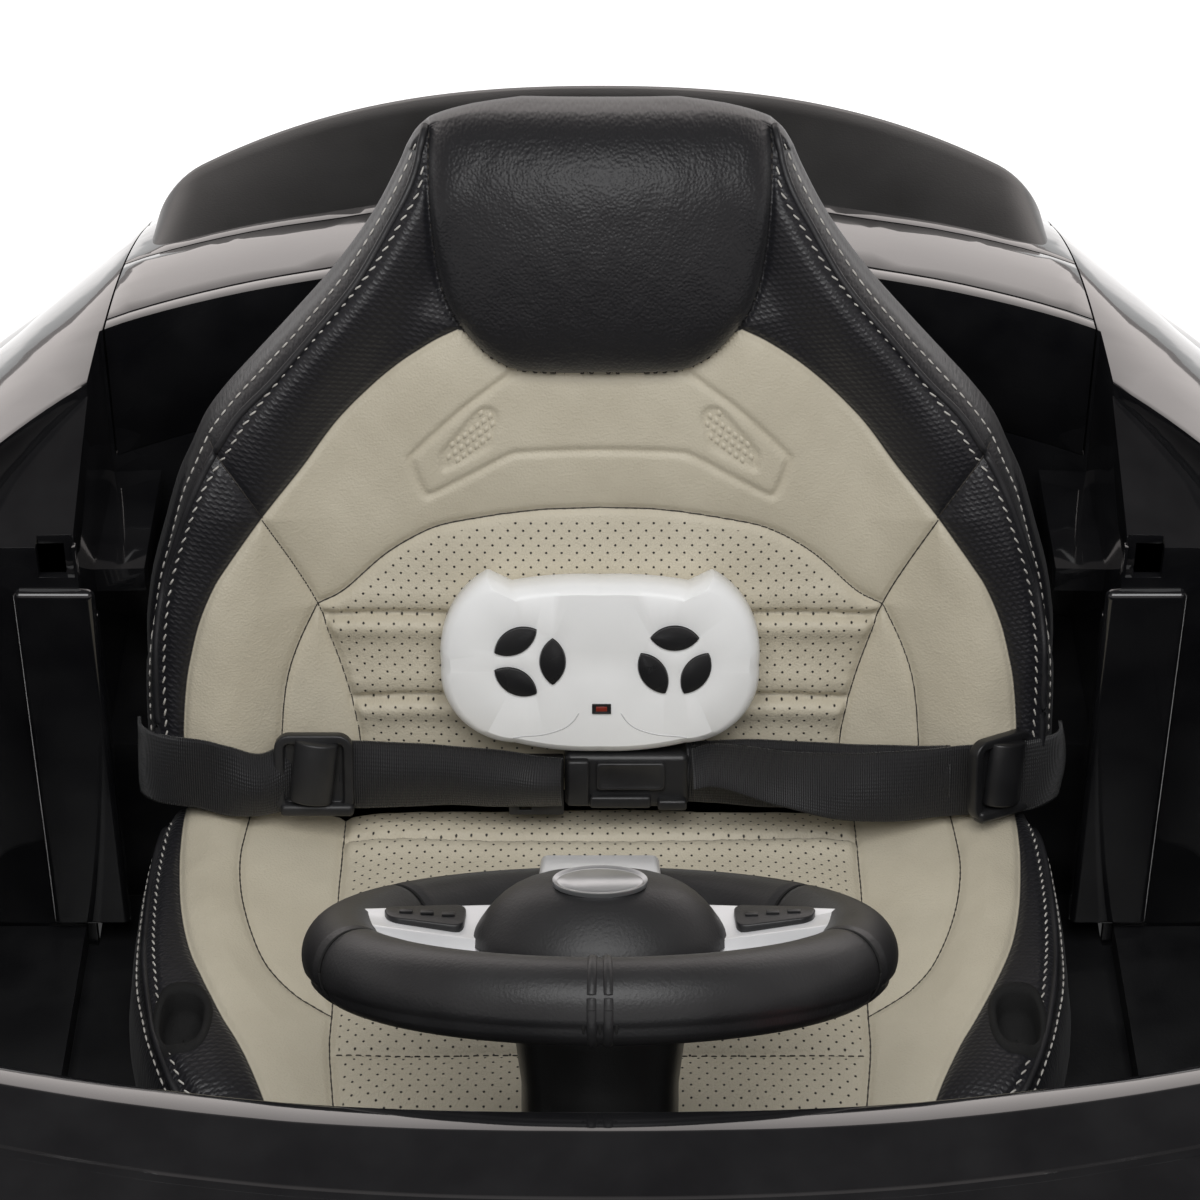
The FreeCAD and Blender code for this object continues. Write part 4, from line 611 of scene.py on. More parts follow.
def turned(degrees: float, axis: str) -> Matrix:
    """Turn about an axis through the origin."""
    return Matrix.Rotation(math.radians(degrees), 4, axis)


def added(name: str, data: bpy.types.ID) -> Piece:
    """New object in the scene."""
    obj = bpy.data.objects.new(name, data)
    bpy.context.scene.collection.objects.link(obj)
    return obj


def deselect() -> None:
    """Leave nothing selected."""
    if bpy.context.object and bpy.context.object.mode != "OBJECT":
        bpy.ops.object.mode_set(mode="OBJECT")
    bpy.ops.object.select_all(action="DESELECT")


def choose(obj: Piece) -> None:
    """Make one object the selected and active one."""
    deselect()
    obj.select_set(True)
    bpy.context.view_layer.objects.active = obj


def modify(obj: Piece, kind: str, **settings: object) -> None:
    """Add a modifier and apply it."""
    choose(obj)
    modifier = obj.modifiers.new(kind.lower(), kind)
    for key, value in settings.items():
        setattr(modifier, key, value)
    bpy.ops.object.modifier_apply(modifier=modifier.name)


def smooth(obj: Piece, degrees: float = 32.0) -> None:
    """Shade smooth, with sharp edges past an angle."""
    choose(obj)
    bpy.ops.object.shade_smooth_by_angle(angle=math.radians(degrees))


def dress(obj: Piece, finish: Finish, body: str, slot: str, *nodes: str) -> Piece:
    """Give a piece its finish, its body and the nodes that it stands for.

    Args:
        obj: The piece.
        finish: Its finish.
        body: CAD body that carries the piece.
        slot: Material slot of the record; not used.
        nodes: CAD nodes that the piece replaces.

    Returns:
        The piece.
    """
    obj.data.materials.clear()
    obj.data.materials.append(finish.material())
    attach(obj, body)
    if nodes:
        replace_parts(obj, *nodes)
    LOG.info("%s rides on %s", obj.name, body)
    return obj


def mesh_piece(name: str, points: Array, faces: list) -> Piece:
    """New smooth-shaded mesh object from points in metres and faces."""
    mesh = bpy.data.meshes.new(name)
    mesh.from_pydata(points.tolist(), [], faces)
    mesh.polygons.foreach_set("use_smooth", [True] * len(mesh.polygons))
    mesh.update()
    return added(name, mesh)


def map_uv(obj: Piece, name: str, spread: Array) -> None:
    """Store a UV map in metres from each point's flat place in millimetres."""
    mesh = obj.data
    layer = mesh.uv_layers.new(name=name)
    corner = np.empty(len(mesh.loops), int)
    mesh.loops.foreach_get("vertex_index", corner)
    layer.data.foreach_set("uv", (spread[corner] * MM).astype(np.float32).ravel())


def mark_points(obj: Piece, name: str, values: Array) -> None:
    """Store one number on each point of a mesh."""
    layer = obj.data.attributes.new(name, "FLOAT", "POINT")
    layer.data.foreach_set("value", values.astype(np.float32))


def ring_faces(count: int, around: int) -> list[tuple[int, ...]]:
    """Faces between rings of points that follow one another.

    Args:
        count: Number of rings.
        around: Points of each ring.

    Returns:
        The faces.
    """
    faces = []
    for i in range(count - 1):
        for k in range(around):
            a, b = i * around + k, i * around + (k + 1) % around
            faces.append((a, b, b + around, a + around))
    return faces


def tube(path: Array, radius: Union[float, Array], around: int) -> Shell:
    """Round tube along a path, closed at its ends.

    Args:
        path: Points of the centre line.
        radius: Radius of the tube, or its radius at each point.
        around: Corners of its section.

    Returns:
        Points and faces.
    """
    tangent = headings(path)
    side = np.cross(tangent, TUBE_UP)
    side /= np.linalg.norm(side, axis=1)[:, None]
    up = np.cross(side, tangent)
    angle = np.arange(around) * 2 * math.pi / around
    ring = side[:, None] * np.cos(angle)[None, :, None] + up[:, None] * np.sin(angle)[None, :, None]
    size = np.broadcast_to(radius, len(path))[:, None, None]
    points = (path[:, None] + size * ring).reshape(-1, 3)
    last = (len(path) - 1) * around
    caps = [tuple(reversed(range(around))), tuple(range(last, last + around))]
    return points, ring_faces(len(path), around) + caps


def joined(parts: list[Shell]) -> Shell:
    """Several point and face sets as one."""
    points, faces, start = [], [], 0
    for p, f in parts:
        points.append(p)
        faces += [tuple(i + start for i in face) for face in f]
        start += len(p)
    return np.vstack(points), faces


def edit_all(obj: Piece) -> None:
    """Enter edit mode with everything selected."""
    choose(obj)
    bpy.ops.object.mode_set(mode="EDIT")
    bpy.ops.mesh.select_all(action="SELECT")


def pick(obj: Piece, test: Callable[[Vector, Vector], bool], part: str = "FACE") -> None:
    """Enter edit mode with the faces, edges or points that a test picks.

    Args:
        obj: The object.
        test: Called with a middle in millimetres and a normal or direction.
        part: FACE, EDGE or VERT.
    """
    choose(obj)
    bpy.ops.object.mode_set(mode="EDIT")
    bpy.ops.mesh.select_mode(type=part)
    bpy.ops.mesh.select_all(action="DESELECT")
    bpy.ops.object.mode_set(mode="OBJECT")
    points = obj.data.vertices
    if part == "FACE":
        for face in obj.data.polygons:
            face.select = test(face.center / MM, face.normal)
    elif part == "EDGE":
        for edge in obj.data.edges:
            a, b = (points[i].co for i in edge.vertices)
            edge.select = test((a + b) / (2 * MM), (b - a).normalized())
    else:
        for point in points:
            point.select = test(point.co / MM, point.normal)
    bpy.ops.object.mode_set(mode="EDIT")


def leave() -> None:
    """Leave edit mode."""
    bpy.ops.object.mode_set(mode="OBJECT")


def recalculated(obj: Piece) -> Piece:
    """Merge doubles and turn all faces outwards."""
    edit_all(obj)
    bpy.ops.mesh.remove_doubles(threshold=DOUBLES)
    bpy.ops.mesh.normals_make_consistent(inside=False)
    leave()
    return obj


def merged_copy(node: str, bevel: float = 0.0, degrees: float = 32.0) -> Piece:
    """Welded copy of a CAD node with softened edges, ready to replace it.

    Args:
        node: Name of the CAD node.
        bevel: Width of the softened edges in millimetres.
        degrees: Angle past which edges stay sharp.

    Returns:
        The copy, named after the node.
    """
    obj = added(node + "_skin", frame["nodes"][node].data.copy())
    edit_all(obj)
    bpy.ops.mesh.remove_doubles(threshold=WELD)
    bpy.ops.mesh.customdata_custom_splitnormals_clear()
    leave()
    if bevel:
        modify(obj, "BEVEL", width=bevel * MM, segments=2, limit_method="ANGLE",
               angle_limit=math.radians(40), use_clamp_overlap=True)
    smooth(obj, degrees)
    return obj


def primitive(kind: str, name: str, size: Sequence[float], centre: Sequence[float],
              **settings: object) -> Piece:
    """Primitive mesh stretched to a size in millimetres about a centre.

    Args:
        kind: Word of the primitive, such as cube.
        name: Name of the piece.
        size: Full size along the three axes.
        centre: Its middle.
        settings: Other settings of the primitive.

    Returns:
        The new object, with its place in its mesh.
    """
    deselect()
    getattr(bpy.ops.mesh, "primitive_%s_add" % kind)(**settings)
    obj = bpy.context.object
    obj.name = name
    obj.data.name = name
    span = np.array(obj.dimensions)
    scale = Matrix.Diagonal([MM * size[i] / max(span[i], 1e-9) for i in range(3)] + [1.0])
    obj.data.transform(moved(centre) @ scale)
    return obj


def inset_top(obj: Piece, *steps: Pair, upright: float = 0.9) -> None:
    """Inset the upper faces of a piece.

    Args:
        obj: The piece.
        steps: Width and rise of each inset in millimetres.
        upright: Least upward part of a face's normal.
    """
    pick(obj, lambda spot, normal: normal.z > upright)
    for width, rise in steps:
        bpy.ops.mesh.inset(thickness=width * MM, depth=rise * MM)
    leave()


def round_uprights(obj: Piece, radius: float, segments: int) -> None:
    """Round the upright edges of a block by a radius in millimetres."""
    pick(obj, lambda spot, direction: abs(direction.z) > 0.9, "EDGE")
    bpy.ops.mesh.bevel(offset=radius * MM, segments=segments, affect="EDGES")
    leave()


def rounded(obj: Piece, width: float, segments: int = 3) -> Piece:
    """Round the sharp edges of a piece by a width in millimetres."""
    modify(obj, "BEVEL", width=width * MM, segments=segments, limit_method="ANGLE",
           angle_limit=math.radians(30), use_clamp_overlap=True)
    smooth(obj, 40.0)
    return obj


def fused(name: str, items: Sequence[Piece]) -> Piece:
    """Join several objects into one piece."""
    deselect()
    for item in items:
        item.select_set(True)
    bpy.context.view_layer.objects.active = items[0]
    if len(items) > 1:
        bpy.ops.object.join()
    items[0].name = name
    items[0].data.name = name
    return items[0]


# Seat


@dataclass
class StitchRow:
    """Row of stitches along a line on a pad.

    Attributes:
        line: Half line on the pad's right-hand face, in millimetres.
        pitch: Spacing of the stitches.
        length: Length of one stitch.
        radius: Radius of the thread.
        proud: How far the thread's middle stands off the face.
        lean: Slant of each stitch across the line, as a slope.
    """

    line: Line
    pitch: float = 4.5
    length: float = 3.1
    radius: float = 0.42
    proud: float = 0.25
    lean: float = 0.0


@dataclass
class Pad:
    """Upholstered pad: a fine front face over an outline, rolled edges and a drawn-in back.

    Attributes:
        name: Name of the piece.
        node: CAD node that it replaces.
        slot: Material slot of the record.
        outline: Half outline (across, along) from the near end to the far end, in millimetres.
        columns: Points across the face.
        rows: Points along the face.
        bunch: How far the columns bunch towards the sides, from 0 to 1.
        flank: Rows down the side, each with its share of the way to the back and its bulge.
        roll: Reach of the rolled edge.
        roll_depth: How far the edge rolls back.
        fill: How full the pad is, from 0 to 1; not used.
        bolster: Shares of the half width between which the side bolsters rise.
        dome: Rise of the middle and the share of the half width that it takes.
        puff: Rise of a panel between its seams and how far from them it is reached.
        seam: Depth and width of a seam.
        dip: Depth and width of a fold.
        swells: Rise, place and width of the swells beside a fold.
        gathers: Height, spacing and wander of the gathers along a fold.
        waves: Height, length and seed of the cover's small waves.
        groove: Depth and width of the groove under a row of stitches.
        thread: Radius and stand-off of the continuous dark thread in a seam, which also paints the seam's
            shade.
        pipe: Radius of the piping.
        piping: Half line of the piping.
        stitch_outer: Half line of the white stitches outside the piping.
        stitch_inner: Half line of the white stitches inside it.
    """

    name: str
    node: str
    slot: str
    outline: Line
    columns: int = 320
    rows: int = 250
    bunch: float = 0.62
    flank: Line = table([
        (0.08, 0.5), (0.22, 1.2), (0.4, 1.4), (0.6, 0.3), (0.8, -3.0), (0.93, -7.0), (1.0, -12.0)])
    roll: float = 15.0
    roll_depth: float = 24.0
    fill: float = 0.75
    bolster: Pair = (0.6, 0.86)
    dome: Pair = (1.5, 0.6)
    puff: Pair = (3.4, 10.0)
    seam: Pair = (1.4, 1.3)
    dip: Pair = (4.0, 1.7)
    swells: tuple[Triple, ...] = ((2.4, -5.5, 4.5), (1.0, 7.0, 5.0))
    gathers: Triple = (0.35, 8.3, 9.0)
    waves: tuple[tuple[float, float, int], ...] = ((0.45, 46.0, 5), (0.12, 13.0, 9))
    groove: Pair = (0.5, 1.2)
    thread: Pair = (0.26, 0.3)
    pipe: float = 1.5
    piping: Line = field(default_factory=list)
    stitch_outer: Line = field(default_factory=list)
    stitch_inner: Line = field(default_factory=list)

    def place(self, x: Array, t: Array, h: Array) -> Array:
        """Points in metres from across, along and height on the pad."""
        raise NotImplementedError

    def height(self, x: Array, t: Array) -> Array:
        """Height of the face in millimetres."""
        raise NotImplementedError

    def areas(self, x: Array, t: Array) -> dict[str, Array]:
        """Signed distances that part the cover's areas."""
        raise NotImplementedError

    def back(self, x: Array, t: Array) -> Array:
        """Height of the pad's rear or under side."""
        raise NotImplementedError

    def rim(self) -> Array:
        """Smooth half outline."""
        return densify(self.outline)

    def half_width(self, t: Array) -> Array:
        """Half width of the outline at places along the pad."""
        rim = self.rim()
        order = np.argsort(rim[:, 1], kind="stable")
        return np.interp(t, rim[order, 1], rim[order, 0])

    def rolls(self, a: Array, t: Array) -> list[tuple[Array, float, float]]:
        """Rolled edges, each with the way to it, its reach and its depth."""
        rim = self.rim()
        return [(distance(a, t, np.vstack([rim, [(0.0, rim[-1, 1])]])), self.roll, self.roll_depth)]

    def rolled(self, a: Array, t: Array) -> Array:
        """Drop of the face towards its rolled edges."""
        total = np.zeros(a.shape)
        for gap, reach, depth in self.rolls(a, t):
            share = np.clip(1 - gap / reach, 0, 1)
            total += (depth * (1 - np.sqrt(1 - share * share))) ** 2
        return np.sqrt(total)

    def puffed(self, a: Array, t: Array, lines: Sequence[Line]) -> Array:
        """Rise of the panels between sewn lines, with a dent along each line."""
        reach = nearest(a, t, lines)
        rise, spread = self.puff
        depth, width = self.seam
        return rise * (1 - np.exp(-reach / spread)) - depth * dent(reach, width)

    def folded(self, a: Array, gap: Array) -> Array:
        """Height of a deep fold with a swell on either side and gathers along it.

        Args:
            a: Places across the pad.
            gap: Signed distances from the fold.

        Returns:
            Heights in millimetres.
        """
        depth, width = self.dip
        total = -depth * dent(gap, width)
        for rise, place, spread in self.swells:
            total += rise * dent(gap - place, spread)
        high, pitch, wander = self.gathers
        wave = np.sin(a * 2 * math.pi / pitch + 2.0 * np.sin(a / wander))
        return total + high * wave * np.exp(-np.abs(gap) / 5.0)

    def covered(self, x: Array, t: Array, h: Array) -> Array:
        """Heights with the cover's small waves, stitch grooves and rolled edges."""
        a = np.abs(x)
        for high, length, seed in self.waves:
            h = h + high * ripple(x, t, length, seed)
        depth, width = self.groove
        for line in (self.stitch_outer, self.stitch_inner):
            h = h - depth * dent(nearest(a, t, [line]), width)
        return h - self.rolled(a, t)

    def build(self) -> Piece:
        """Make the pad's mesh with its UV map and areas.

        Returns:
            The finished piece.
        """
        rim = self.rim()
        along = np.linspace(rim[0, 1], rim[-1, 1], self.rows)
        turn = math.pi / 2 * self.bunch
        across = np.sin(np.linspace(-1, 1, self.columns) * turn) / math.sin(turn)
        x = (self.half_width(along)[:, None] * across[None, :]).ravel()
        t = np.repeat(along, self.columns)
        h = self.height(x, t)
        index = np.arange(self.rows * self.columns).reshape(self.rows, self.columns)
        corners = [index[:-1, :-1], index[:-1, 1:], index[1:, 1:], index[1:, :-1]]
        faces = np.stack(corners, -1).reshape(-1, 4).tolist()
        loop = np.concatenate([index[0], index[1:, -1], index[-1, -2::-1], index[-2:0:-1, 0]])
        flat = np.stack([x[loop], t[loop]], -1)
        step = np.roll(flat, -3, 0) - np.roll(flat, 3, 0)
        out = np.stack([step[:, 1], -step[:, 0]], -1)
        out /= np.linalg.norm(out, axis=1)[:, None]
        rear = self.back(flat[:, 0], flat[:, 1])
        xs, ts, hs, previous = [x], [t], [h], loop
        total = len(x)
        for share, bulge in self.flank:
            ring = flat + out * bulge
            xs.append(ring[:, 0])
            ts.append(ring[:, 1])
            hs.append(h[loop] + (rear - h[loop]) * share)
            current = np.arange(total, total + len(loop))
            total += len(loop)
            faces += np.stack([previous, current, np.roll(current, -1), np.roll(previous, -1)], -1).tolist()
            previous = current
        middle = np.array([0.0]), np.array([0.5 * (along[0] + along[-1])])
        xs.append(middle[0])
        ts.append(middle[1])
        hs.append(self.back(*middle))
        faces += [(int(b), int(a), total) for a, b in zip(previous, np.roll(previous, -1))]
        x, t, h = np.concatenate(xs), np.concatenate(ts), np.concatenate(hs)
        obj = mesh_piece(self.name, self.place(x, t, h), faces)
        map_uv(obj, "face", np.stack([x, t], -1))
        for name, values in self.areas(x, t).items():
            mark_points(obj, name, values)
        dress(obj, SEAT_COVER, "car", self.slot, self.node)
        return obj

    def on_face(self, line: Array, proud: Union[float, Array]) -> Array:
        """Points in metres along a line, at a height above the face."""
        return self.place(line[:, 0], line[:, 1], self.height(line[:, 0], line[:, 1]) + proud)

    def stitches(self, row: StitchRow) -> list[Shell]:
        """Capsules of one row of stitches, on both sides of the pad."""
        along = row.length * np.array([-0.5, -0.36, 0.0, 0.36, 0.5])
        thick = row.radius * MM * np.array([0.35, 0.85, 1.0, 0.85, 0.35])
        sunk = np.array([-0.5, 0.0, 0.0, 0.0, -0.5])
        line = densify(row.line)
        run = run_along(line)
        centres = np.arange(row.pitch, run[-1] - row.pitch, row.pitch)
        spots = (centres[:, None] + along).ravel()
        flat = np.stack([np.interp(spots, run, line[:, 0]), np.interp(spots, run, line[:, 1])], -1)
        turn = headings(flat)
        aside = np.stack([-turn[:, 1], turn[:, 0]], -1)
        flat += aside * (row.lean * np.resize(along, len(flat)))[:, None]
        proud = np.resize(row.proud + sunk, len(flat))
        parts = []
        for side in (1, -1):
            for path in self.on_face(flat * (side, 1), proud).reshape(-1, 5, 3):
                parts.append(tube(path, thick, 6))
        return parts

    def threads(self, lines: Sequence[Line], radius: float, proud: float, around: int = 6) -> list[Shell]:
        """Tubes along lines on both sides of the pad."""
        parts = []
        for line in lines:
            for side in (1, -1):
                path = self.on_face(densify(line, 10) * (side, 1), proud)
                parts.append(tube(path, radius * MM, around))
        return parts

    def sew(self, threaded: Sequence[Line], stitched: Sequence[Line]) -> None:
        """Add the piping, the white stitches beside it and the dark seams, whose continuous thread paints the
        shade of their crease.

        Args:
            threaded: Seams whose dark thread runs all along them and paints the shade of their crease.
            stitched: Seams that show single stitches.
        """
        white = self.stitches(StitchRow(self.stitch_outer))
        white += self.stitches(StitchRow(self.stitch_inner, lean=0.3))
        pipes = self.threads([self.piping], self.pipe, 0.1, 10)
        # Continuous dark thread along each seam: painted shade of the seam's crease, with dark stitches over
        # it.
        dark = self.threads(threaded, *self.thread)
        for line in stitched:
            dark += self.stitches(StitchRow(line, 3.6, 2.4, 0.34, 0.3))
        word = self.name.split("_")[0]
        sewing = {"_stitches": (white, STITCH_WHITE), "_piping": (pipes, PIPING_BLACK),
                  "_seams": (dark, THREAD_AND_SHADE_DARK)}
        for ending, (parts, finish) in sewing.items():
            dress(mesh_piece(word + ending, *joined(parts)), finish, "car", self.slot)


@dataclass
class Backrest(Pad):
    """Seat back with head pad, ribbed sides, sewn pale panels and pierced pillows.

    Attributes:
        crease: Place along the car and height of the line where back and seat meet.
        recline: Lean of the back in degrees.
        thickness: How far its rear lies behind its plane.
        shoulder: Height up the back where the broad roll of the head pad takes over.
        head_roll: Reach and depth of that roll.
        head_half: Half width of the head pad.
        brow: How far its top falls towards its corners.
        crown: Height of the middle at places up the back.
        rise: Height of the bolsters at places up the back.
        swell: Swell of the head pad at places up the back.
        head: Lower edge of the head pad.
        pale_edge: Outer edge of the pale panels.
        cross: Seam across the pale edge.
        side_seam: Seam beside the pierced panel.
        wedge: Seam of the wedge beside it.
        arch: Upper edge of the pierced panel.
        fold_high: Upper fold of the pillows.
        fold_low: Lower fold of the pillows.
        emboss: Pressed line below the head pad.
        vent: Outline of a pressed vent panel.
    """

    name: str = "backrest_cover"
    node: str = "seat_backrest"
    slot: str = "seat_back_leather"
    outline: Line = table([
        (180, 13), (180.5, 40), (180.5, 72), (179, 87), (176.5, 100), (172, 115.5), (166, 135), (160, 148),
        (153.5, 161.5), (145, 173), (132.5, 186.5), (118, 202), (101, 221), (87, 240), (77, 258),
        (71.5, 270), (67, 275.5), (59, 279.8), (46, 283), (30, 284.8)])
    crease: Pair = (210.0, 185.0)
    recline: float = 20.0
    thickness: float = 39.6
    shoulder: float = 267.0
    head_roll: Pair = (36.0, 26.0)
    head_half: float = 66.0
    brow: float = 6.0
    crown: Line = table([(0, 0), (90, 0.3), (150, 1), (200, 3), (289, 2)])
    rise: Line = table([
        (0, 16), (70, 16), (140, 16), (200, 13), (240, 8.5), (262, 3.6), (275, 2.4), (289, 2)])
    swell: Line = table([(180, 2.5), (192, 5), (210, 8.5), (235, 10), (260, 8.5), (289, 4)])
    head: Line = table([
        (0, 184.4), (18, 184.4), (30, 185), (37, 187.3), (45, 192.8), (53, 201.8), (59.3, 213.5),
        (62.6, 228), (64.4, 247), (65.2, 270), (64, 279)])
    pale_edge: Line = table([
        (54.5, 200.6), (65.5, 195.1), (81.9, 183.6), (100.5, 165.9), (115.2, 146.9), (131, 127.7),
        (145, 108.4), (150.4, 99.8), (156, 86.8), (159.6, 73.7), (162.2, 60.5), (163.9, 40.6), (164, 13)])
    cross: Line = table([(150.5, 157.5), (140, 143), (130.8, 128)])
    side_seam: Line = table([
        (131, 127), (120.9, 108.4), (111, 89), (107.2, 77.9), (101.3, 60.2), (97.5, 44.7), (95.6, 32.4),
        (94.5, 13)])
    wedge: Line = table([(111.5, 89), (119.6, 72), (124.2, 56.5), (126.5, 34.3), (127, 13)])
    arch: Line = table([
        (111, 89.4), (100.6, 95), (83.7, 110.2), (67, 120), (52, 124), (26, 128), (0, 129.2)])
    fold_high: Line = table([(108.6, 84.5), (84, 86), (59, 86), (30, 85), (0, 84.5)])
    fold_low: Line = table([(98.8, 50), (76.5, 52), (59.5, 52), (30, 51), (0, 50.6)])
    emboss: Line = table([
        (33, 184.5), (44, 176.5), (52.5, 170), (63, 160.5), (72.3, 151.3), (73.3, 149), (71, 141.5),
        (68.2, 135.8), (65.5, 135), (52, 142), (35.5, 151), (29, 152.3), (15, 153), (0, 153.3)])
    vent: Line = table([
        (62.2, 152.2), (55, 161), (46.6, 170.2), (41.2, 170.4), (39, 166.3), (41, 158), (42.6, 154),
        (50, 149.5), (59.5, 144.6), (62, 146)])
    stitch_outer: Line = table([
        (68.8, 273.5), (74.9, 259.4), (84.2, 242.2), (97.8, 221.7), (114.4, 202.1), (129, 186.5),
        (141.6, 172.9), (150.2, 161.4), (156.8, 147.6), (162.4, 134.8), (168.3, 115.5), (173, 100.3),
        (175.6, 87.3), (177.2, 72), (177.6, 45), (177.2, 18)])
    piping: Line = table([
        (66.5, 277), (71.2, 258), (80.8, 240), (93.3, 219.6), (109.8, 200), (124.4, 183.4), (138, 169.8),
        (146.5, 157.2), (153.1, 145.5), (159.3, 131.7), (164.8, 116.7), (169.2, 103.8), (171.8, 92),
        (173.8, 75), (174.3, 45), (174, 18)])
    stitch_inner: Line = table([
        (67, 266), (68.6, 255), (75, 244), (86.9, 225.4), (103.4, 205.9), (117.9, 189.4), (134.7, 168.5),
        (142.8, 155.9), (148.6, 147.5), (154, 137.9), (160.4, 121.9), (165.4, 106.9), (168.2, 93.9),
        (170.2, 76.5), (171, 59), (170.8, 43.5), (170.4, 18)])

    def carry(self, obj: Piece) -> Piece:
        """Move a piece made as (across, up the back, out) to the seat back."""
        tilt = math.radians(self.recline)
        lean, level = math.sin(tilt), math.cos(tilt)
        axes = Matrix(((1, 0, 0), (0, lean, -level), (0, level, lean)))
        obj.data.transform(moved((0, *self.crease)) @ axes.to_4x4())
        return obj

    def place(self, x: Array, t: Array, h: Array) -> Array:
        """Points in metres from across, up the back and out from its plane."""
        tilt = math.radians(self.recline)
        y = self.crease[0] + t * math.sin(tilt) - h * math.cos(tilt)
        z = self.crease[1] + t * math.cos(tilt) + h * math.sin(tilt)
        return np.stack([x, y, z], -1) * MM

    def back(self, x: Array, t: Array) -> Array:
        """Flat rear of the backrest."""
        return np.full(x.shape, -self.thickness)

    def rolls(self, a: Array, t: Array) -> list[tuple[Array, float, float]]:
        """Tight roll along the sides and a broad one over the head pad."""
        rim = self.rim()
        side = rim[rim[:, 1] < self.shoulder]
        brow = rim[-1, 1] - self.brow * (a / side[-1, 0]) ** 4
        return [(distance(a, t, side), self.roll, self.roll_depth), (brow - t, *self.head_roll)]

    def head_polygon(self) -> Array:
        """Outline of the head pad on one side, open at the top."""
        top = [(self.head_half, 310.0), (PAST_MIDDLE, 310.0), (PAST_MIDDLE, 185.0)]
        return np.vstack([densify(self.head), top])

    def pale_polygon(self) -> Array:
        """Outline of the pale panels on one side."""
        inner = [p for p in densify(self.head) if p[1] < 200.6]
        return np.vstack([inner, densify(self.pale_edge), [(PAST_MIDDLE, 5.0), (PAST_MIDDLE, 185.0)]])

    def pierced_polygon(self) -> Array:
        """Outline of the pierced panel on one side."""
        low = [p for p in densify(self.side_seam) if p[1] < 89]
        return np.vstack([densify(self.arch)[::-1], low, [(PAST_MIDDLE, 5.0), (PAST_MIDDLE, 129.2)]])

    def areas(self, x: Array, t: Array) -> dict[str, Array]:
        """Signed distances of the pale, plain black and pierced areas."""
        a = np.abs(x)
        pipe = densify(self.piping)[::-1]
        edge = distance(a, t, pipe)
        outside = a > np.interp(t, pipe[:, 1], pipe[:, 0])
        plain = np.maximum(inward(a, t, self.head_polygon()), np.where(outside, edge, -edge))
        return {"pale": inward(a, t, self.pale_polygon()), "plain": plain,
                "pierced": inward(a, t, self.pierced_polygon())}

    def height(self, x: Array, t: Array) -> Array:
        """Height of the face: bolsters, panels puffed between seams, folds, head pad and embossing."""
        a = np.abs(x)
        half = self.half_width(t)
        lift, share = self.dome
        crown = profile(t, self.crown)
        crown += lift * (1 - np.clip(a / (share * np.maximum(half, self.head_half)), 0, 1) ** 2)
        h = crown + (profile(t, self.rise) - crown) * ease(a / half, *self.bolster)
        h += self.puffed(a, t, [self.pale_edge, self.cross, self.side_seam, self.wedge, self.arch, self.head])
        pierced = inward(a, t, self.pierced_polygon())
        inside = ease(pierced, -1.0, 3.0)
        for line in (self.fold_high, self.fold_low):
            fold = densify(line, 6)[::-1]
            h += inside * self.folded(a, t - np.interp(a, fold[:, 0], fold[:, 1]))
        tucks = np.sin(t * 2 * math.pi / 7.1 + 1.7 * np.sin(t / 8.0))
        h += 0.3 * tucks * np.exp(-nearest(a, t, [self.side_seam]) / 5.0) * ease(pierced, 0.0, 2.0)
        head = inward(a, t, self.head_polygon())
        h += 5.0 * (1 - np.exp(-np.clip(head, 0, None) / 3.2))
        h += profile(t, self.swell) * (head > 0) * np.clip(1 - (a / self.head_half) ** 2, 0, 1)
        h -= 1.5 * dent(nearest(a, t, [self.emboss]), 1.3) * (head < 0)
        h -= 1.3 * ease(inward(a, t, densify(self.vent, 4)), -0.4, 1.0)
        return self.covered(x, t, h)

    def vent_ribs(self) -> list[Shell]:
        """Small raised lozenges of the two pressed vent panels."""
        panel = densify(self.vent, 4)
        lean = math.radians(-38.0)
        across = np.array([math.cos(lean), math.sin(lean)])
        up = np.array([0.32, 1.0]) / 1.05
        steps = np.array([(i, k) for i in range(-6, 7) for k in range(-5, 6)])
        spots = panel.mean(0) + across * 3.1 * steps[:, :1] + up * 3.3 * steps[:, 1:]
        spots = spots[inward(spots[:, 0], spots[:, 1], panel) > 1.7]
        square = np.array([across * 1.15 * p + up * 1.2 * q for p, q in ((-1, -1), (1, -1), (1, 1), (-1, 1))])
        corners = np.concatenate([spots[:, None] + square, spots[:, None] + 0.55 * square], 1)
        proud = np.resize([-0.2] * 4 + [0.65] * 4, corners.shape[0] * 8)
        faces = [(4, 5, 6, 7)] + [(j, (j + 1) % 4, 4 + (j + 1) % 4, 4 + j) for j in range(4)]
        parts = []
        for side in (1, -1):
            wound = faces if side > 0 else [tuple(reversed(face)) for face in faces]
            points = self.on_face(corners.reshape(-1, 2) * (side, 1), proud).reshape(-1, 8, 3)
            parts += [(block, wound) for block in points]
        return parts

    def dress_seams(self) -> None:
        """Add piping, stitches, seam threads and the vent ribs."""
        seams = (self.side_seam, self.wedge, self.arch, self.cross)
        self.sew(seams, (*seams, self.head))
        ribs = mesh_piece("backrest_vents", *joined(self.vent_ribs()))
        mark_points(ribs, "pale", np.full(len(ribs.data.vertices), 5.0))
        dress(ribs, SEAT_COVER, "car", self.slot)


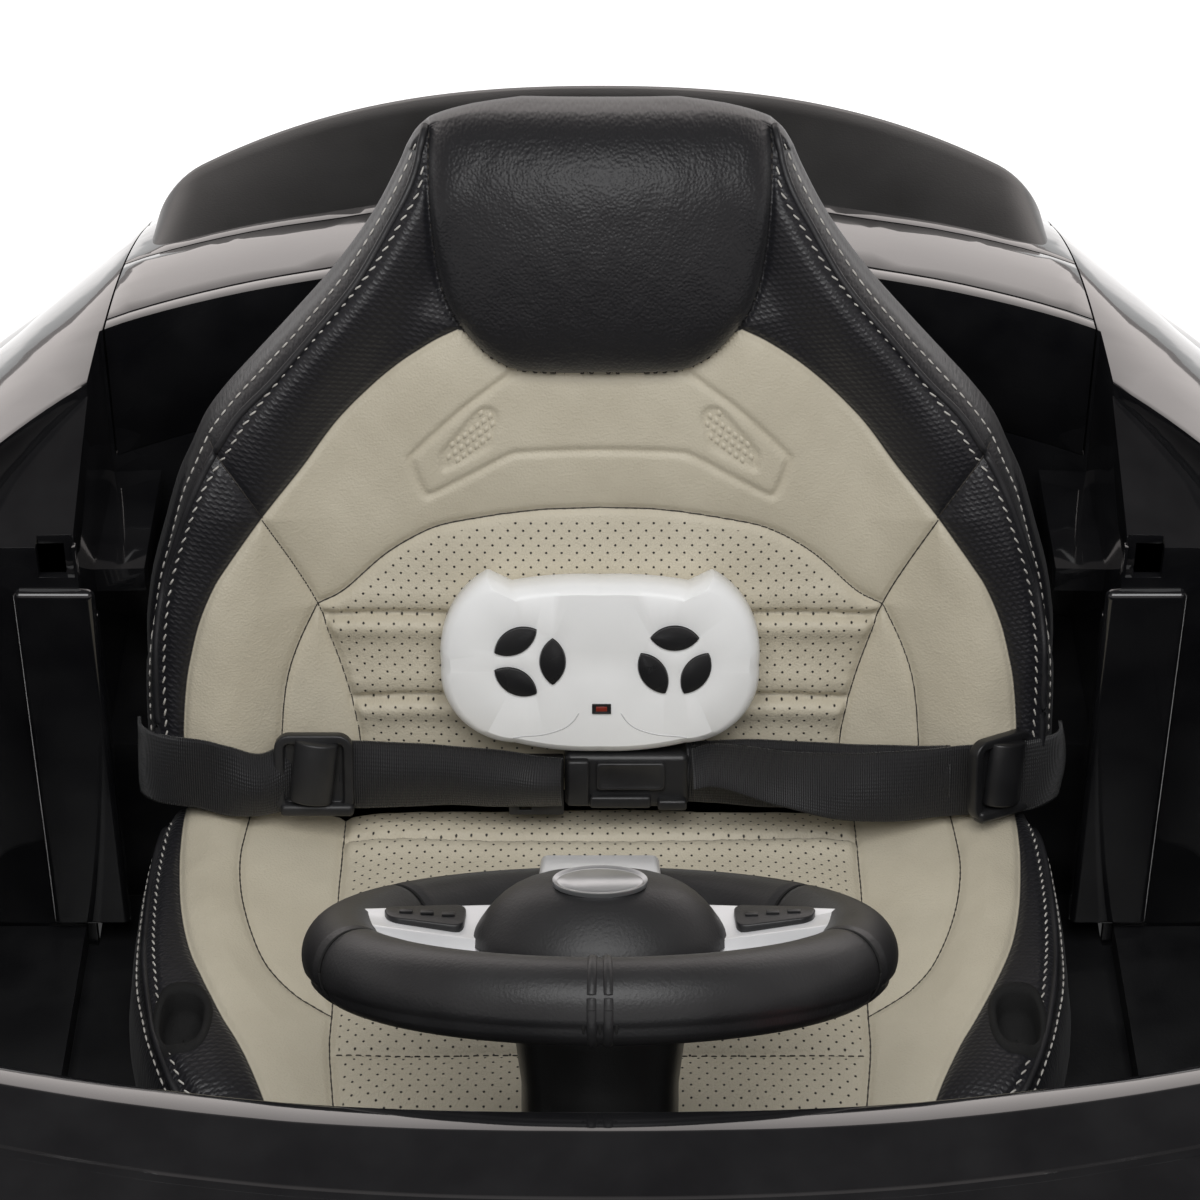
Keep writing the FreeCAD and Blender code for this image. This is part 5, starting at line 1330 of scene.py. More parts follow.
@dataclass
class Cushion(Pad):
    """Seat cushion with ribbed black sides, pale panels, a pierced middle and two belt eyelets.

    Attributes:
        crease: Place along the car and height of the line where back and seat meet.
        pitch: Rise of the seat to the front in degrees.
        base: Height of its underside.
        side_rise: Rise of the side bolsters.
        nose: Fall of the front at places forwards from the crease.
        nose_start: Where the plain black front starts.
        pale_edge: Outer edge of the pale panels.
        curve: Seam that curves across them.
        middle_edge: Edge of the pierced middle.
        fold: Fold at the rear.
        cross: Seam across the front of the pierced middle.
        eyelet: Place of a belt eyelet, across and forwards.
        eyelet_size: Its half width and half length.
        eyelet_depth: Its depth.
        eyelet_rings: Rings of its felt rim and of the black floor that paints the hole's shade, each with its
            share of that size and its height.
        eyelet_points: Points round a ring.
    """

    name: str = "cushion_cover"
    node: str = "seat_cushion"
    slot: str = "seat_leather"
    outline: Line = table([
        (173, 3), (178, 25), (179, 50), (178.5, 80), (176.5, 112), (172, 135), (167, 152), (158, 172),
        (146, 186), (135, 190)])
    rows: int = 190
    roll: float = 14.0
    roll_depth: float = 20.0
    dome: Pair = (1.5, 0.62)
    puff: Pair = (3.0, 11.0)
    seam: Pair = (1.3, 1.5)
    dip: Pair = (3.2, 1.7)
    swells: tuple[Triple, ...] = ((2.0, -6.0, 5.0), (1.0, 7.0, 5.0))
    gathers: Triple = (0.3, 8.7, 10.0)
    waves: tuple[tuple[float, float, int], ...] = ((0.45, 48.0, 15), (0.12, 14.0, 19))
    thread: Pair = (0.24, 0.25)
    pipe: float = 1.4
    crease: Pair = (210.0, 185.0)
    pitch: float = 5.0
    base: float = 151.6
    side_rise: float = 8.5
    nose: Line = table([(0, 0), (60, 0), (120, 0), (160, -3), (176, -8), (190, -15)])
    nose_start: float = 181.0
    pale_edge: Line = table([
        (165.4, 3), (165, 25), (164, 42.7), (160.7, 70), (155.5, 93.5), (148.9, 111.7), (139.4, 132.5),
        (130.4, 149.8), (118.3, 178.5), (114, 190)])
    curve: Line = table([
        (139, 3), (141, 33.8), (139, 56.7), (133.7, 78.9), (126.4, 97.4), (117.8, 109.5), (107.6, 118.5),
        (100, 124.4)])
    middle_edge: Line = table([
        (101.9, 3), (101.9, 36.5), (101.7, 54.4), (99.9, 117.8), (99.5, 142.7), (96, 175), (95, 190)])
    fold: Line = table([(101.5, 17.6), (80, 19), (40, 21.5), (0, 22)])
    cross: Line = table([(99.4, 145.3), (50, 146.6), (0, 147)])
    stitch_outer: Line = table([
        (175.5, 12), (177, 43), (176.4, 72), (175, 97), (172.9, 115), (169.3, 131), (165, 147),
        (157, 167), (148, 180)])
    piping: Line = table([
        (173, 8), (174.6, 40), (173.9, 68), (172.5, 92), (170.3, 110), (166.8, 129), (162.4, 147),
        (155, 166), (146, 179)])
    stitch_inner: Line = table([
        (170.5, 8), (171.8, 36.5), (171, 65.6), (169.6, 86), (167.4, 104.5), (163.6, 127), (159, 148),
        (152, 166), (143, 179)])
    eyelet: Pair = (153.7, 137.6)
    eyelet_size: Pair = (10.6, 18.9)
    eyelet_depth: float = 13.0
    eyelet_rings: Line = table([
        (0.02, -11.6), (0.6, -11.2), (0.68, -7.0), (0.74, -0.6), (0.80, 0.8), (0.90, 1.1), (1.0, 0.7),
        (1.05, -0.8)])
    eyelet_points: int = 56

    def place(self, x: Array, t: Array, h: Array) -> Array:
        """Points in metres from across, forwards from the crease and up from the seat plane."""
        tilt = math.radians(self.pitch)
        y = self.crease[0] - t * math.cos(tilt) + h * math.sin(tilt)
        z = self.crease[1] + t * math.sin(tilt) + h * math.cos(tilt)
        return np.stack([x, y, z], -1) * MM

    def back(self, x: Array, t: Array) -> Array:
        """Flat underside on the seat shell."""
        tilt = math.radians(self.pitch)
        return (self.base - self.crease[1]) / math.cos(tilt) - t * math.tan(tilt)

    def closed(self, edge: Line, rear: float) -> Array:
        """Outline of what lies inside an edge, which starts at a place across at the rear."""
        ends = [(PAST_MIDDLE, 200.0), (PAST_MIDDLE, -5.0), (rear, -5.0)]
        return np.vstack([densify(edge), ends])

    def areas(self, x: Array, t: Array) -> dict[str, Array]:
        """Signed distances of the pale, plain black and pierced areas."""
        a = np.abs(x)
        pipe = densify(self.piping)
        edge = distance(a, t, pipe)
        outside = (a > np.interp(t, pipe[:, 1], pipe[:, 0])) | (t > self.nose_start)
        return {"pale": inward(a, t, self.closed(self.pale_edge, 165.0)),
                "plain": np.where(outside, edge, -edge),
                "pierced": inward(a, t, self.closed(self.middle_edge, 101.9))}

    def height(self, x: Array, t: Array) -> Array:
        """Height of the face: side bolsters, puffed panels, the rear fold, a rounded nose and eyelets."""
        a = np.abs(x)
        half = self.half_width(t)
        lift, share = self.dome
        crown = lift * (1 - np.clip(a / (share * half), 0, 1) ** 2)
        h = crown + profile(t, self.nose) + self.side_rise * ease(a / half, *self.bolster)
        h += self.puffed(a, t, [self.pale_edge, self.curve, self.middle_edge, self.cross])
        fold = densify(self.fold, 6)[::-1]
        inside = ease(self.areas(x, t)["pierced"], -1.0, 3.0)
        h += inside * self.folded(a, np.interp(a, fold[:, 0], fold[:, 1]) - t)
        return self.covered(x, t, h) - self.hole(a, t)

    def hole(self, a: Array, t: Array) -> Array:
        """Depth of the belt eyelets."""
        wide, tall = self.eyelet_size
        ring = (np.abs(a - self.eyelet[0]) / wide) ** 3 + (np.abs(t - self.eyelet[1]) / tall) ** 3
        return self.eyelet_depth * (1 - ease(ring, 0.3, 0.55))

    def eyelets(self) -> list[Shell]:
        """Felt rims round the belt eyelets, each running down to a black floor that paints the hole's shade.
        """
        angle = np.arange(self.eyelet_points) * 2 * math.pi / self.eyelet_points
        turn = np.stack([np.cos(angle), np.sin(angle)], -1)
        shape = np.sign(turn) * np.abs(turn) ** 0.75
        faces = ring_faces(len(self.eyelet_rings), self.eyelet_points)
        parts = []
        for side in (1, -1):
            points = []
            for scale, proud in self.eyelet_rings:
                x, t = (self.eyelet + shape * self.eyelet_size * scale).T
                points.append(self.place(side * x, t, self.height(x, t) + self.hole(x, t) + proud))
            parts.append((np.vstack(points), faces))
        return parts

    def dress_seams(self) -> None:
        """Add piping, stitches, seam threads and eyelets."""
        seams = (self.curve, self.middle_edge)
        self.sew(seams, (*seams, self.cross))
        # The felt runs down to a black floor deep in each eyelet: painted shade in the hole.
        rims = recalculated(mesh_piece("cushion_eyelets", *joined(self.eyelets())))
        dress(rims, FELT_AND_SHADE_BLACK, "car", self.slot)


@dataclass
class Seat:
    """Sewn seat of the car.

    Attributes:
        backrest: Seat back with its head pad.
        cushion: Seat cushion.
    """

    backrest: Backrest = field(default_factory=Backrest)
    cushion: Cushion = field(default_factory=Cushion)

    def build(self) -> None:
        """Make both pads and their sewing."""
        for pad in (self.backrest, self.cushion):
            pad.build()
            pad.dress_seams()


# Steering wheel


@dataclass
class SteeringWheel:
    """Steering wheel with a padded look, silver spokes, a domed hub and a plain oval badge.

    Attributes:
        centre: Middle of the rim in millimetres.
        tilt: Lean of the column in degrees.
        rim_radius: Radius of the rim's centre line.
        grip: Radius of the rim's section.
        joints: Angles of the sewn joints from the rim's front.
        joint_half: Half width of a joint in degrees.
        joint_depth: Depth of a joint.
        seam: Angle of the moulded seam below the rim's plane, its half width and its depth.
        hub: Half width and half depth of the hub's dome, and height of its skirt.
        shoulder: Height of the parting line above the dome's skirt.
        crown: Share of the dome's width at each height above the skirt.
        badge: Width, depth and thickness of the badge.
        badge_place: Its middle about the wheel's own axes.
        badge_tilt: Its lean to the driver in degrees.
        wing_corners: Corners of a side spoke by their signs outwards, to the driver and upwards.
        cap: Size and middle of the wide spoke towards the driver.
        plate: Size and middle of the plate under the hub.
        pad_top: Upper corners of a key pad by their signs outwards and to the driver.
        pad_depth: Thickness of a key pad.
        keys: Middles of the keys on a pad.
        key: Size of a key.
        key_tilt: Its lean in degrees.
    """

    centre: Triple = (0.0, -7.0, 318.0)
    tilt: float = 33.0
    rim_radius: float = 84.5
    grip: float = 13.5
    joints: tuple[float, ...] = (0.0, 3.0, 66.375, 125.625)
    joint_half: float = 0.45
    joint_depth: float = 1.2
    seam: Triple = (27.0, 2.8, 0.7)
    hub: Triple = (41.5, 34.0, 12.0)
    shoulder: float = 1.6
    crown: Line = table([
        (0.965, 1.7), (0.965, 2.5), (0.995, 2.6), (0.985, 5.0), (0.955, 7.6), (0.915, 10.4),
        (0.865, 13.4), (0.805, 16.4), (0.735, 19.2), (0.65, 21.7), (0.55, 23.7), (0.44, 25.1),
        (0.32, 26.0), (0.19, 26.4), (0.06, 26.5)])
    badge: Triple = (31.0, 18.5, 1.8)
    badge_place: Triple = (0.0, -15.0, 25.3)
    badge_tilt: float = 21.0
    wing_corners: dict[tuple[int, int, int], Triple] = table({
        (-1, 1, 1): (33, 10, 13.6), (1, 1, 1): (79, 9, 12.4),
        (1, -1, 1): (79, -5.5, 9.9), (-1, -1, 1): (33, -10, 4.4),
        (-1, 1, -1): (33, 10, -2), (1, 1, -1): (79, 9, 6),
        (1, -1, -1): (76, -9, 8), (-1, -1, -1): (33, -13, -3)})
    cap: tuple[Triple, Triple] = ((49, 47, 26), (0, 64.5, 4.5))
    plate: tuple[Triple, Triple] = ((66, 60, 5), (0, 0, -6))
    pad_top: dict[tuple[int, int], Triple] = table({
        (-1, 1): (44, 8.2, 13.8), (1, 1): (72, 7.6, 13.1), (1, -1): (69.5, -1.4, 11.2),
        (-1, -1): (45, -4.8, 8.7)})
    pad_depth: float = 3.0
    keys: tuple[Triple, ...] = ((50, 2.0, 11.6), (57, 2.8, 12.1), (64, 3.4, 12.4))
    key: Triple = (4.4, 2.4, 0.8)
    key_tilt: float = 18.0

    def seat(self, obj: Piece) -> Piece:
        """Move a piece made about the wheel's own axes to its place."""
        obj.data.transform(moved(self.centre) @ turned(-self.tilt, "X"))
        return obj

    def rim(self) -> None:
        """Rim with a moulded seam round it and its sewn joints."""
        deselect()
        bpy.ops.mesh.primitive_torus_add(
            major_segments=480, minor_segments=56, major_radius=self.rim_radius * MM,
            minor_radius=self.grip * MM)
        obj = bpy.context.object
        obj.name = "steering_rim_grip"
        below, half, depth = self.seam

        def on_joint(spot: Vector, _: Vector) -> bool:
            """Whether a face is in a joint."""
            angle = abs(math.degrees(math.atan2(spot.x, -spot.y)))
            return min(abs(angle - joint) for joint in self.joints) < self.joint_half

        def on_seam(spot: Vector, _: Vector) -> bool:
            """Whether a face is on the moulded seam."""
            reach = math.hypot(spot.x, spot.y) - self.rim_radius
            return abs(math.degrees(math.atan2(spot.z, reach)) + below) < half

        for test, drop in ((on_joint, self.joint_depth), (on_seam, depth)):
            pick(obj, test)
            bpy.ops.transform.shrink_fatten(value=-drop * MM)
            leave()
        smooth(obj, 60.0)
        dress(self.seat(obj), SOFT_BLACK, "steering", "grip_black", "steering_rim")
        self.seams()

    def hoops(self, angles: Sequence[float], radius: float, sunk: float) -> Shell:
        """Thin hoops round the grip.

        Args:
            angles: Places of the hoops round the rim in degrees from its front.
            radius: Radius of a hoop's wire.
            sunk: Depth of the wire's middle below the skin of the grip.

        Returns:
            Points and faces of all hoops.
        """
        turn = np.radians(np.linspace(0, 360, 73))
        out = self.rim_radius + (self.grip - sunk) * np.cos(turn)
        up = (self.grip - sunk) * np.sin(turn)
        parts = []
        for angle in np.radians(angles):
            ring = np.stack([out * math.sin(angle), -out * math.cos(angle), up], -1)
            parts.append(tube(ring * MM, radius * MM, 12))
        return joined(parts)

    def seams(self) -> None:
        """Black lines laid in the joints of the rim as painted shade, and two beads between those at its
        front.
        """
        places = sorted({side * angle for side in (-1, 1) for angle in self.joints})
        # Black tubes in the joint grooves: painted shade of the grooves.
        lines = recalculated(mesh_piece("rim_joint_lines", *self.hoops(places, 0.5, 0.6)))
        dress(self.seat(lines), FELT_AND_SHADE_BLACK, "steering", "grip_black")
        beads = recalculated(mesh_piece("rim_joint_beads", *self.hoops((-1.5, 1.5), 1.8, 1.0)))
        smooth(beads, 60.0)
        dress(self.seat(beads), SOFT_BLACK, "steering", "grip_black")

    def dome(self) -> None:
        """Domed hub with a parting line above its skirt."""
        wide, deep, skirt = self.hub
        low = self.shoulder
        size, place = (2 * wide, 2 * deep, skirt), (0, 0, low - skirt / 2)
        obj = primitive("cylinder", "steering_hub_dome", size, place, vertices=112)
        width = 1.0
        for share, level in self.crown:
            pick(obj, lambda spot, normal: normal.z > 0.99)
            bpy.ops.mesh.extrude_region_move()
            bpy.ops.transform.translate(value=(0, 0, (level - low) * MM))
            bpy.ops.transform.resize(value=(share / width, share / width, 1), center_override=(0, 0, 0))
            leave()
            low, width = level, share
        smooth(obj, 42.0)
        collar = merged_copy("steering_hub", 0.4)
        pick(collar, lambda spot, normal: self.up(spot) > -2.5)
        bpy.ops.mesh.delete(type="VERT")
        leave()
        piece = fused("steering_hub_cover", [self.seat(obj), collar])
        dress(piece, SOFT_BLACK, "steering", "grip_black", "steering_hub")

    def up(self, spot: Vector) -> float:
        """Height of a point above the rim's plane."""
        lean = math.radians(self.tilt)
        return (spot.y - self.centre[1]) * math.sin(lean) + (spot.z - self.centre[2]) * math.cos(lean)

    def emblem(self) -> None:
        """Plain silver oval with a raised rim on the front of the dome."""
        wide, deep, thick = self.badge
        obj = primitive("cylinder", "steering_badge", (wide, deep, thick), (0, 0, 0), vertices=72)
        inset_top(obj, (1.6, -0.7), (1.0, 0.45))
        rounded(obj, 0.25, 2)
        obj.data.transform(moved(self.badge_place) @ turned(self.badge_tilt, "X"))
        dress(self.seat(obj), CAP_SILVER, "steering", "chrome_trim")

    def block(self, name: str, side: Side, corners: dict[tuple[int, int, int], Triple]) -> Piece:
        """Cube whose eight corners are drawn out to their places.

        Args:
            name: Name of the piece.
            side: Side of the car; the corners are given for the left.
            corners: Places by the sign of the corner outwards, to the driver and upwards.

        Returns:
            The new object about the wheel's own axes.
        """
        obj = primitive("cube", name, (2, 2, 2), (0, 0, 0))
        for sign, (x, y, z) in corners.items():
            corner = Vector((sign[0] * side.value, sign[1], sign[2]))
            pick(obj, lambda spot, normal: (spot - corner).length < 0.1, "VERT")
            bpy.ops.transform.translate(value=(Vector((x * side.value, y, z)) - corner) * MM)
            leave()
        return obj

    def wing(self, side: Side) -> Piece:
        """One silver spoke, deep at the hub, its top sloped to the front under the keys."""
        obj = self.block("spoke_" + side.word, side, self.wing_corners)
        inset_top(obj, (1.8, -0.5), upright=0.75)
        return rounded(obj, 0.7, 3)

    def spokes(self) -> None:
        """Two wings, the wide spoke towards the driver and the plate under the hub."""
        cap = primitive("cube", "spoke_cap", *self.cap)
        pick(cap, lambda spot, normal: spot.z > 0, "VERT")
        bpy.ops.transform.resize(value=(0.84, 1, 1), center_override=(0, 0, 0))
        leave()
        rounded(cap, 2.0, 4)
        plate = primitive("cylinder", "spoke_plate", *self.plate, vertices=48)
        wings = [self.seat(self.wing(side)) for side in Side]
        piece = fused("steering_spokes_trim", wings + [self.seat(cap), self.seat(plate)])
        dress(piece, SATIN_SILVER, "steering", "chrome_trim", "steering_spokes")

    def pads(self) -> None:
        """Black key pads let into the wings, with small raised keys."""
        for side in Side:
            name = "spoke_pad_" + side.word
            pad = self.block(name + "_pad", side, {
                (i, j, k): (x, y, z if k > 0 else z - self.pad_depth)
                for (i, j), (x, y, z) in self.pad_top.items() for k in (1, -1)})
            round_uprights(pad, 3.6, 5)
            rounded(pad, 0.5, 3)
            keys = []
            for x, y, z in self.keys:
                key = rounded(primitive("cube", "key", self.key, (0, 0, 0)), 0.3, 2)
                key.data.transform(moved((x * side.value, y, z)) @ turned(self.key_tilt, "X"))
                keys.append(key)
            dress(self.seat(fused(name + "_keys", [pad] + keys)), BUCKLE_BLACK, name, "grip_black", name)

    def build(self) -> None:
        """Make the whole wheel."""
        self.rim()
        self.dome()
        self.emblem()
        self.spokes()
        self.pads()


# Lap belt


@dataclass
class LapBelt:
    """Woven lap belt with its ladder locks and side-release buckle.

    Attributes:
        back: Seat back that it lies on.
        width: Width of the webbing.
        thick: Thickness of the webbing.
        lock_up: Height of the ladder locks up the seat back.
        paths: Points (across, out) of each strap from the buckle round the side of the seat.
        edges: Upper and lower edge and lean of each strap at places across the car.
        tail_path: Points of the left strap's loose end.
        tail_edges: Its edges and lean.
        locks: Place across and out of each ladder lock, and its turn round the seat's side in degrees.
    """

    back: Backrest
    width: float = 29.0
    thick: float = 1.4
    lock_up: float = 26.0
    paths: dict[Side, Line] = table({
        Side.LEFT: [
            (36, 19), (60, 18.4), (86, 18.6), (112, 19.2), (136, 20.2), (154, 20.4), (167, 18), (176.5, 12),
            (182.5, 4), (184.5, -7)],
        Side.RIGHT: [
            (15, 23.6), (24, 23.2), (36, 20.8), (60, 17.6), (86, 17.0), (112, 17.2), (136, 19.8),
            (156, 20.6), (168, 18.5), (177, 12.5), (182.5, 4), (184.5, -7)]})
    edges: dict[Side, list[Quad]] = table({
        Side.LEFT: [
            (36, 35.5, 24.5, 0.6), (46, 37.5, 25.5, 0.65), (71, 34.5, 17.5, 0.7), (95, 33.5, 10.2, 0.7),
            (118, 34.5, 7.4, 0.5), (140, 37, 8, 0.2), (160, 38, 9.2, 0), (200, 38, 9.2, 0)],
        Side.RIGHT: [
            (15, 33.3, 13.4, 0.0), (36, 34.8, 12.8, 0.1), (60, 36.3, 12, 0.1), (84, 37.4, 10.6, 0.1),
            (112, 38.2, 10, 0), (123, 37.6, 9.4, 0), (134, 33.4, 8.8, 0.2), (147, 37, 8.4, 0.1),
            (163, 40.4, 11.5, 0), (200, 39, 10, 0)]})
    tail_path: Line = table([(34, 15.0), (60, 14.6), (90, 15.4), (120, 17.4), (138, 18.2)])
    tail_edges: list[Quad] = table([
        (34, 37, 12, 0.0), (66, 37.5, 9.6, 0.0), (104, 36, 8.0, 0.0), (138, 36.5, 9, 0.0)])
    locks: dict[Side, Triple] = table({
        Side.LEFT: (156.0, 20.5, 38.0), Side.RIGHT: (-112.5, 18.6, 0.0)})

    def strap(self, side: Side) -> None:
        """One strap, twisted or bowed where it sits narrower than its weave."""
        node = "belt_" + side.word
        self.ribbon(node + "_webbing", side, self.paths[side], self.edges[side], [node])

    def tail(self) -> None:
        """Loose end of the left strap lying flat behind its twist."""
        self.ribbon("belt_left_tail", Side.LEFT, self.tail_path, self.tail_edges, [])

    def ribbon(self, name: str, side: Side, path: Line, edges: list[Quad], nodes: list[str]) -> None:
        """Thin woven slab along a path.

        Args:
            name: Name of the piece.
            side: Side of the car.
            path: Points (across, out) of its run.
            edges: Places across with upper edge, lower edge and lean.
            nodes: CAD nodes that it stands for.
        """
        line = densify(path, 16)
        run = run_along(line)
        turn = headings(line)
        out = np.stack([-turn[:, 1], turn[:, 0]], -1)
        high, low, lean = (profile(line[:, 0], [(k[0], k[i]) for k in edges])[:, None] for i in (1, 2, 3))
        rows = np.linspace(-1, 1, 17)
        u, c = np.meshgrid(run, rows, indexing="ij")
        seen = np.minimum(high - low, self.width)
        missing = np.sqrt(self.width**2 - seen**2)
        bow = np.sqrt((self.width - seen) * 3 * seen / 8)
        off = lean * missing * (1 - c) / 2 + (1 - lean) * bow * (1 - c * c)
        off += 0.35 * np.sin(u / 8.0 + 2.0 * c) + 0.25 * np.sin(u / 4.3 - 1.4 * c)
        t = 0.5 * (high + low) + c * 0.5 * (high - low)
        layers = []
        for shift in (0.5 * self.thick, -0.5 * self.thick):
            x = side.value * (line[:, :1] + out[:, :1] * (off + shift))
            h = line[:, 1:] + out[:, 1:] * (off + shift)
            layers.append(self.back.place(x.ravel(), t.ravel(), h.ravel()))
        count, across = u.shape
        index = np.arange(count * across).reshape(count, across)
        front = np.stack([index[:-1, :-1], index[1:, :-1], index[1:, 1:], index[:-1, 1:]], -1).reshape(-1, 4)
        rim = np.concatenate([index[:, 0], index[-1, 1:], index[-2::-1, -1], index[0, -2:0:-1]])
        lower = rim + count * across
        faces = front.tolist() + (front[:, ::-1] + count * across).tolist()
        faces += np.stack([rim, lower, np.roll(lower, -1), np.roll(rim, -1)], -1).tolist()
        obj = mesh_piece(name, np.vstack(layers), faces)
        spread = np.stack([np.tile(u.ravel(), 2), np.tile((c * 0.5 * self.width).ravel(), 2)], -1)
        map_uv(obj, "weave", spread)
        recalculated(obj)
        dress(obj, WEBBING, "car", "webbing", *nodes)

    def lock(self, side: Side) -> None:
        """Ladder lock: a rounded frame with a broad half-round bar over it and a lip below."""
        plate = primitive("cube", "lock_frame", (31, 33, 5.0), (0, 0, 2.5))
        round_uprights(plate, 6.0, 6)
        inset_top(plate, (3.6, 0.0), (0.5, -2.6))
        rounded(plate, 0.8, 3)
        bar = primitive("cylinder", "lock_bar", (17.0, 11.0, 25.5), (0, 0, 0), vertices=48)
        rounded(bar, 1.0, 3)
        bar.data.transform(moved((0, 1.4, 4.4)) @ turned(-7, "Z") @ turned(90, "X"))
        lip = primitive("cube", "lock_lip", (29, 5.0, 6.0), (1.0, -14.6, 3.6))
        rounded(lip, 1.8, 4)
        piece = fused("belt_lock_" + side.word, [plate, bar, lip])
        across, out, turn = self.locks[side]
        piece.data.transform(moved((across, self.lock_up, out)) @ turned(turn, "Y"))
        dress(self.back.carry(piece), BUCKLE_BLACK, "car", "buckle_black", "belt_adjuster_" + side.word)

    def buckle(self) -> None:
        """Side-release buckle: its case with an upright post, a raised plate and a notched lip."""
        case = merged_copy("buckle_socket", 0.4)
        post = primitive("cube", "buckle_post", (8.6, 19.0, 6.0), (-8.6, 23.4, 23.4))
        plate = primitive("cube", "buckle_plate", (27.0, 11.5, 4.4), (12.0, 25.8, 23.4))
        inset_top(plate, (1.4, -0.6))
        lip = primitive("cube", "buckle_lip", (24.0, 5.0, 6.0), (8.0, 15.6, 23.6))
        hook = primitive("cube", "buckle_hook", (11.5, 4.4, 6.4), (28.4, 14.4, 23.6))
        items = [self.back.carry(rounded(item, 1.2, 3)) for item in (post, plate, lip, hook)]
        dress(fused("buckle_case", [case] + items), BUCKLE_BLACK, "car", "buckle_black", "buckle_socket")
        tongue = merged_copy("buckle_tongue", 0.6)
        dress(fused("buckle_prongs", [tongue]), BUCKLE_BLACK, "car", "buckle_black", "buckle_tongue")

    def build(self) -> None:
        """Make the whole belt."""
        for side in Side:
            self.strap(side)
        self.tail()
        for side in Side:
            self.lock(side)
        self.buckle()


# Remote control


@dataclass
class Remote:
    """White remote control with grey lines that paint the shade of its parting lines, and a small signal
    window.

    Attributes:
        back: Seat back that it lies on.
        middle: Height of its middle up the seat back.
        face: Distance of its face out from the seat back.
        parting: Parting line of one grip (across, up from the middle).
        window: Place and size of the signal window: across, up, width, height.
    """

    back: Backrest
    middle: float = 70.8
    face: float = 25.1
    parting: Line = table([(8.2, -18.3), (10.8, -22), (15, -25), (22.2, -27.2), (30, -27.9), (34, -28.6)])
    window: Quad = (0.6, -16.4, 7.4, 4.0)

    def build(self) -> None:
        """Make the case, the grey lines of painted shade on its parting lines and the window; the leaf
        buttons come from their own nodes.
        """
        case = merged_copy("remote_case", 0.9, 75.0)
        dress(fused("remote_shell", [case]), REMOTE_WHITE, "remote", "remote_white", "remote_case")
        parts = []
        # Thin grey tubes along the parting lines: painted shade in the gap between the halves.
        for side in (1, -1):
            line = densify(self.parting, 8) * (side, 1)
            edge = np.clip((-28 - line[:, 1]) / 6, 0, 1)
            path = self.back.place(line[:, 0], self.middle + line[:, 1], self.face - 0.05 - 2.2 * edge**2)
            parts.append(tube(path, 0.28 * MM, 6))
        dress(mesh_piece("remote_lines", *joined(parts)), PARTING_SHADE_GREY, "remote", "remote_white")
        across, up, wide, high = self.window
        place = across, self.middle + up
        glass = primitive("cube", "remote_window", (wide, high, 1.6), (*place, self.face))
        inset_top(glass, (0.7, -0.3))
        dress(self.back.carry(rounded(glass, 0.2, 2)), BUTTON_BLACK, "remote", "button_black")
        lamp = primitive("cube", "remote_lamp", (wide - 3.0, high - 2.0, 1.2), (*place, self.face + 0.1))
        inset_top(lamp, (0.4, 0.15))
        dress(self.back.carry(rounded(lamp, 0.15, 2)), SIGNAL_RED, "remote", "button_black")


# Bodywork and other rigid pieces


@dataclass(frozen=True)
class NodeDress:
    """How one CAD node is shown.

    Attributes:
        finish: Its finish.
        bevel: Width of its softened edges in millimetres.
        degrees: Angle past which its edges stay sharp.
    """

    finish: Finish
    bevel: float = 0.5
    degrees: float = 32.0


class Ground:
    """Upper surface of a piece, felt from above."""

    def __init__(self, obj: Piece) -> None:
        """Take the faces of one object."""
        mesh = obj.data
        self.tree = BVHTree.FromPolygons([v.co for v in mesh.vertices], [p.vertices for p in mesh.polygons])

    def level(self, x: float, y: float) -> float:
        """Height in millimetres of the surface at a place."""
        hit = self.tree.ray_cast(Vector((x * MM, y * MM, 1.0)), Vector((0, 0, -1)))[0]
        return hit.z / MM if hit else 0.0


def swept(name: str, rows: Sequence[Sequence[Sequence[float]]]) -> Piece:
    """Closed sections, one after the other, joined into a capped bar.

    Args:
        name: Name of the piece.
        rows: Sections of equal counts of points in millimetres.

    Returns:
        The new object.
    """
    points = np.array(rows, float) * MM
    count, around = points.shape[:2]
    caps = [tuple(range(around)), tuple(range((count - 1) * around, count * around))]
    obj = recalculated(mesh_piece(name, points.reshape(-1, 3), caps + ring_faces(count, around)))
    smooth(obj, 40.0)
    return obj


